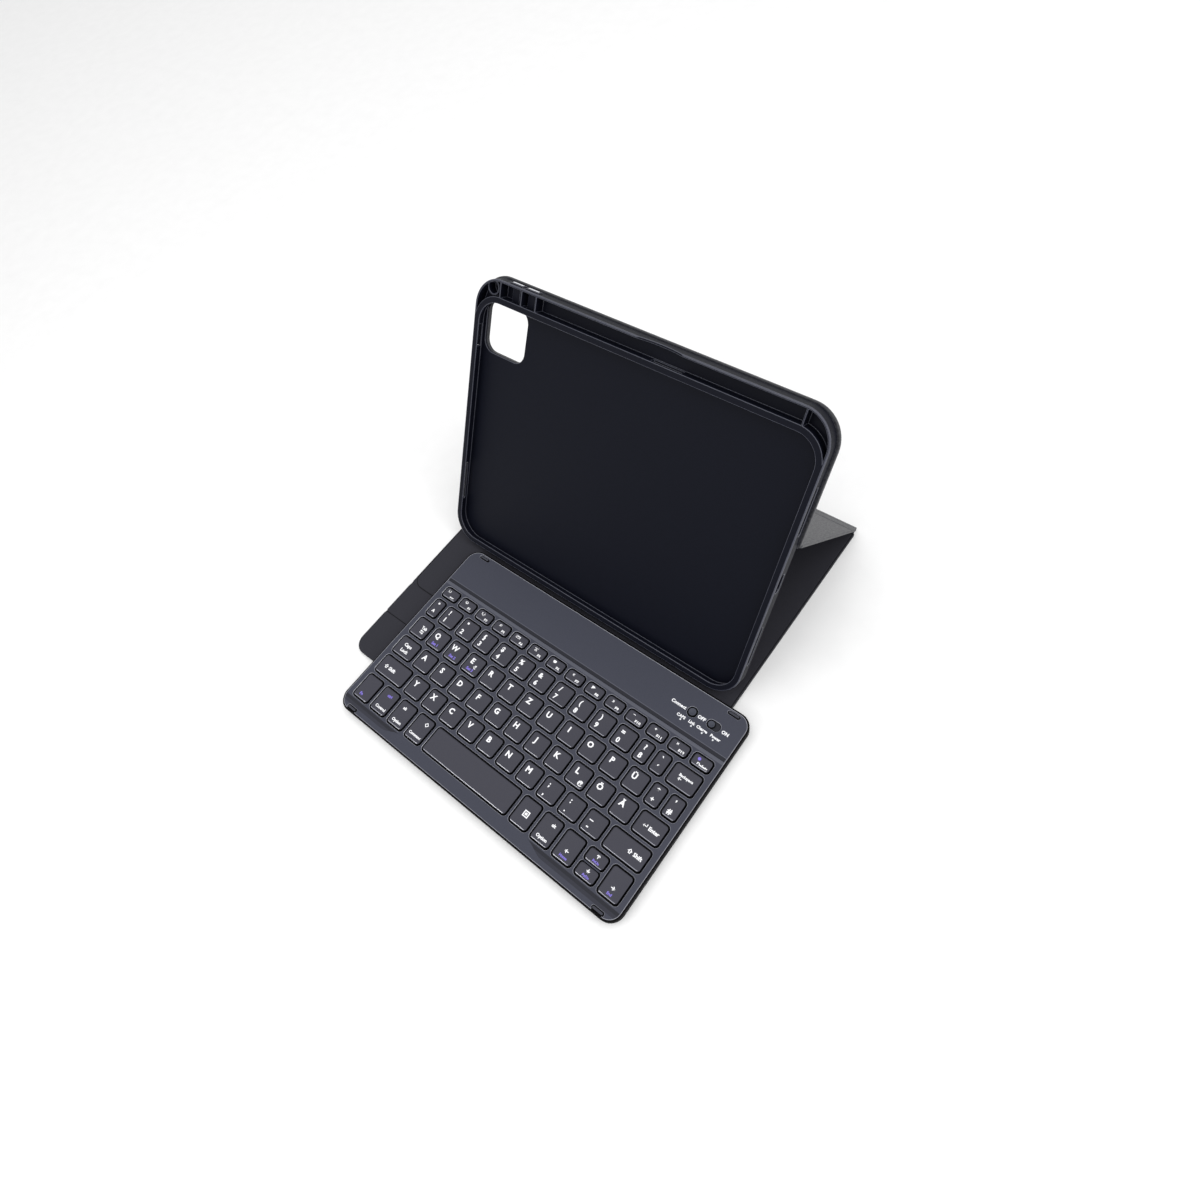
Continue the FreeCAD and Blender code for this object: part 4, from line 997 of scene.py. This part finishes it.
bm = softened_copy("tpu_shell", SHELL_ROUND, 3)
shell = level(piece("moulded_shell", bm, "shell", [SHELL, SHELL_EDGE_HIGHLIGHT], ["tpu_shell"]))
for body in ("volume_up", "volume_down", "power"):
    name = body + "_pad"
    bm = softened_copy(name, PAD_ROUND, 2)
    press = Vector(joints[body + "_press"]["axis"])
    outer = min(bm.faces, key=lambda f: f.calc_center_median().dot(press))
    bmesh.ops.inset_individual(bm, faces=[outer], thickness=PAD_FRAME, depth=PAD_RISE)
    # The raised face of a pad is painted pale, a painted glint.
    outer.material_index = GLINT_FACE_PAINT
    piece("soft_" + name, bm, body, [SHELL, SHELL_EDGE_HIGHLIGHT, PAD_GLINT], [name])
print("shell faces:", len(shell.data.polygons))

# %% [markdown]
# ## Flat folds
# At a fold the boards stop, and the fabric and the lining run on across the fold line. In front of
# the cover they lie flat, so each is a thin strip with a few rows of faces.

# %% Flat folds
FOLD_HALF = 2.2 * MM
FOLD_ROWS = 8
SKIN_LAYER = (0.05 * MM, 0.7 * MM)
LINING_LAYER = (1.2 * MM, 1.7 * MM)


def flat_fold(name, pivot, layer, paint):
    """A strip across a fold line, between two heights."""
    bm = bmesh.new()
    size = Matrix.Diagonal((2 * (FOLIO_X - LINING_IN), 2 * FOLD_HALF, 1, 1))
    sheet(bm, Matrix.Translation((0, pivot.y, layer[0])) @ size, FOLD_ROWS)
    made = bmesh.ops.extrude_face_region(bm, geom=bm.faces[:])["geom"]
    upper = [g for g in made if isinstance(g, bmesh.types.BMVert)]
    bmesh.ops.translate(bm, vec=(0, 0, layer[1] - layer[0]), verts=upper)
    obj = piece(name, bm, None, paint)
    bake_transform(obj)


# The lining across the flap fold is painted dark, a painted shade of its crease.
for name, a, b, lining in (("strip_fold", "cover", "strip", LINING), ("flap_fold", "strip", "flap", CREASE_SHADE)):
    flat_fold(name + "_skin", PIVOT[name], SKIN_LAYER, SKIN)
    flat_fold(name + "_lining", PIVOT[name], LINING_LAYER, lining)
print("flat folds:", len(CREASE_GAP))

# %% [markdown]
# ## Round folds
# At the rear fold the fabric goes round the outside of the corner, at the back fold the lining goes
# round the inside. Spinning a narrow strip about the fold line makes the bend, and a flat run at
# each end lies on the two panels.

# %% Round folds
FOLD_WIDTH = 2 * (FOLIO_X - 1.5 * MM)
FOLD_T = 0.7 * MM
BEND_STEPS = 10
FLAT_STEPS = 3
REAR_RADIUS, REAR_FLATS = PANEL_T / 2, 4.0 * MM
BACK_RADIUS, BACK_FLATS = 1.1 * MM, 2.0 * MM


def round_fold(name, pivot, first, sweep, radius, flats, paint):
    """Fabric round a fold line, from the direction first; sweep is the angle that it goes round."""
    bm = bmesh.new()
    turn = Matrix.Translation(pivot) @ Matrix.Rotation(first, 4, "X")
    size = Matrix.Diagonal((FOLD_WIDTH, FOLD_T, 1, 1))
    face = sheet(bm, turn @ Matrix.Translation((0, radius - FOLD_T / 2, 0)) @ size)[0].link_faces[0]
    made = bmesh.ops.spin(bm, geom=[face, *face.edges, *face.verts], cent=pivot, axis=X_AXIS, angle=sweep,
                          steps=BEND_STEPS)
    last = faces_of(made["geom_last"])[0]
    side = 1 if sweep > 0 else -1
    starts = Matrix.Rotation(first, 3, "X") @ Vector((0, 0, -side * flats))
    ends = Matrix.Rotation(first + sweep, 3, "X") @ Vector((0, 0, side * flats))
    for end, run in ((face, starts), (last, ends)):
        for _ in range(FLAT_STEPS):
            end = faces_of(bmesh.ops.extrude_face_region(bm, geom=[end, *end.edges])["geom"])[0]
            bmesh.ops.translate(bm, vec=run / FLAT_STEPS, verts=end.verts)
    obj = piece(name, bm, None, paint)
    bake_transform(obj)


slope = math.asin(along.z)
lean = math.atan2(UP.z, UP.y)
round_fold("rear_fold_skin", PIVOT["stand_fold"], -math.pi / 2, math.pi - slope,
           REAR_RADIUS, REAR_FLATS, SKIN)
round_fold("back_fold_lining", PIVOT["shell_fold"], -math.pi / 2 - slope,
           -(math.pi - lean - slope), BACK_RADIUS, BACK_FLATS, LINING)
print("lean of the shell:", round(math.degrees(lean), 1))

# %% [markdown]
# ## Camera
# The view looks down on the open case from the front right, turned a little about its own line of
# sight. Its place, its angles and its lens were fitted to known corners of the case, which is more
# exact than moving a camera by eye.

# %% Camera
AZIMUTH, ELEVATION, ROLL = (math.radians(a) for a in (54.406, 59.695, -19.153))
EYE = Vector((226.421, -165.334, 466.635)) * MM
back = Vector((math.sin(AZIMUTH) * math.cos(ELEVATION), -math.cos(AZIMUTH) * math.cos(ELEVATION),
               math.sin(ELEVATION)))
sideways = (-back).cross(Vector((0, 0, 1))).normalized()
upright = sideways.cross(-back)
right = sideways * math.cos(ROLL) + upright * math.sin(ROLL)
up = upright * math.cos(ROLL) - sideways * math.sin(ROLL)
view = bpy.data.cameras.new("view")
view.sensor_width = 36
view.lens = 22.4797
view.clip_start = 10 * MM
camera = bpy.data.objects.new("view", view)
camera.matrix_world = Matrix.Translation(EYE) @ Matrix((right, up, back)).transposed().to_4x4()
bpy.context.scene.collection.objects.link(camera)
bpy.context.scene.camera = camera
print("lens:", round(view.lens, 1), "mm, distance:", round(EYE.length / MM), "mm")

# %% [markdown]
# ## Light and floor
# A plain studio: a white room all round, one large soft lamp above, a smaller one at the side for
# the edges, and a narrow strip lamp in front for the glints on the rims and the caps. The floor is
# white paper, and it belongs to the stage, not to the case.

# %% Light and floor
ROOM_LIGHT = 0.8
FLOOR_SIZE = 8.0
FLOOR_DROP = 0.1 * MM


def lamp(name, at, aim, size, power):
    """A rectangular lamp that looks at a point."""
    light = bpy.data.lights.new(name, "AREA")
    light.shape = "RECTANGLE"
    light.size, light.size_y = size
    light.energy = power
    obj = bpy.data.objects.new(name, light)
    turn = (Vector(aim) - Vector(at)).to_track_quat("-Z", "Y").to_matrix().to_4x4()
    obj.matrix_world = Matrix.Translation(at) @ turn
    bpy.context.scene.collection.objects.link(obj)


lamp("overhead", at=(0.15, 0.2, 1.5), aim=(0, 0, 0), size=(2.0, 2.0), power=9.0)
lamp("side", at=(1.1, 0.2, 0.7), aim=(0, 0, 0.03), size=(0.7, 0.7), power=3.5)
lamp("strip", at=(-0.24, -0.6, 0.5), aim=(0.03, -0.12, 0), size=(0.42, 0.08), power=0.9)
world = bpy.data.worlds.new("room")
bpy.context.scene.world = world
world.use_nodes = True
room = world.node_tree.nodes["Background"].inputs
room["Strength"].default_value = ROOM_LIGHT
room["Color"].default_value = (1, 1, 1, 1)
paper = finish("floor_paper", (0.93, 0.93, 0.93, 1), (0.96, 0.96, 0.96, 1), (0.9, 1.0), 60, 0.01)
bm = bmesh.new()
sheet(bm, Matrix.Translation((0, 0, -FLOOR_DROP)) @ Matrix.Diagonal((FLOOR_SIZE, FLOOR_SIZE, 1, 1)))
mesh = bpy.data.meshes.new("floor")
bm.to_mesh(mesh)
bm.free()
mesh.materials.append(paper)
floor = bpy.data.objects.new("floor", mesh)
bpy.context.scene.collection.objects.link(floor)
bpy.context.scene.view_settings.view_transform = "Standard"
print("lamps:", len(bpy.data.lights))
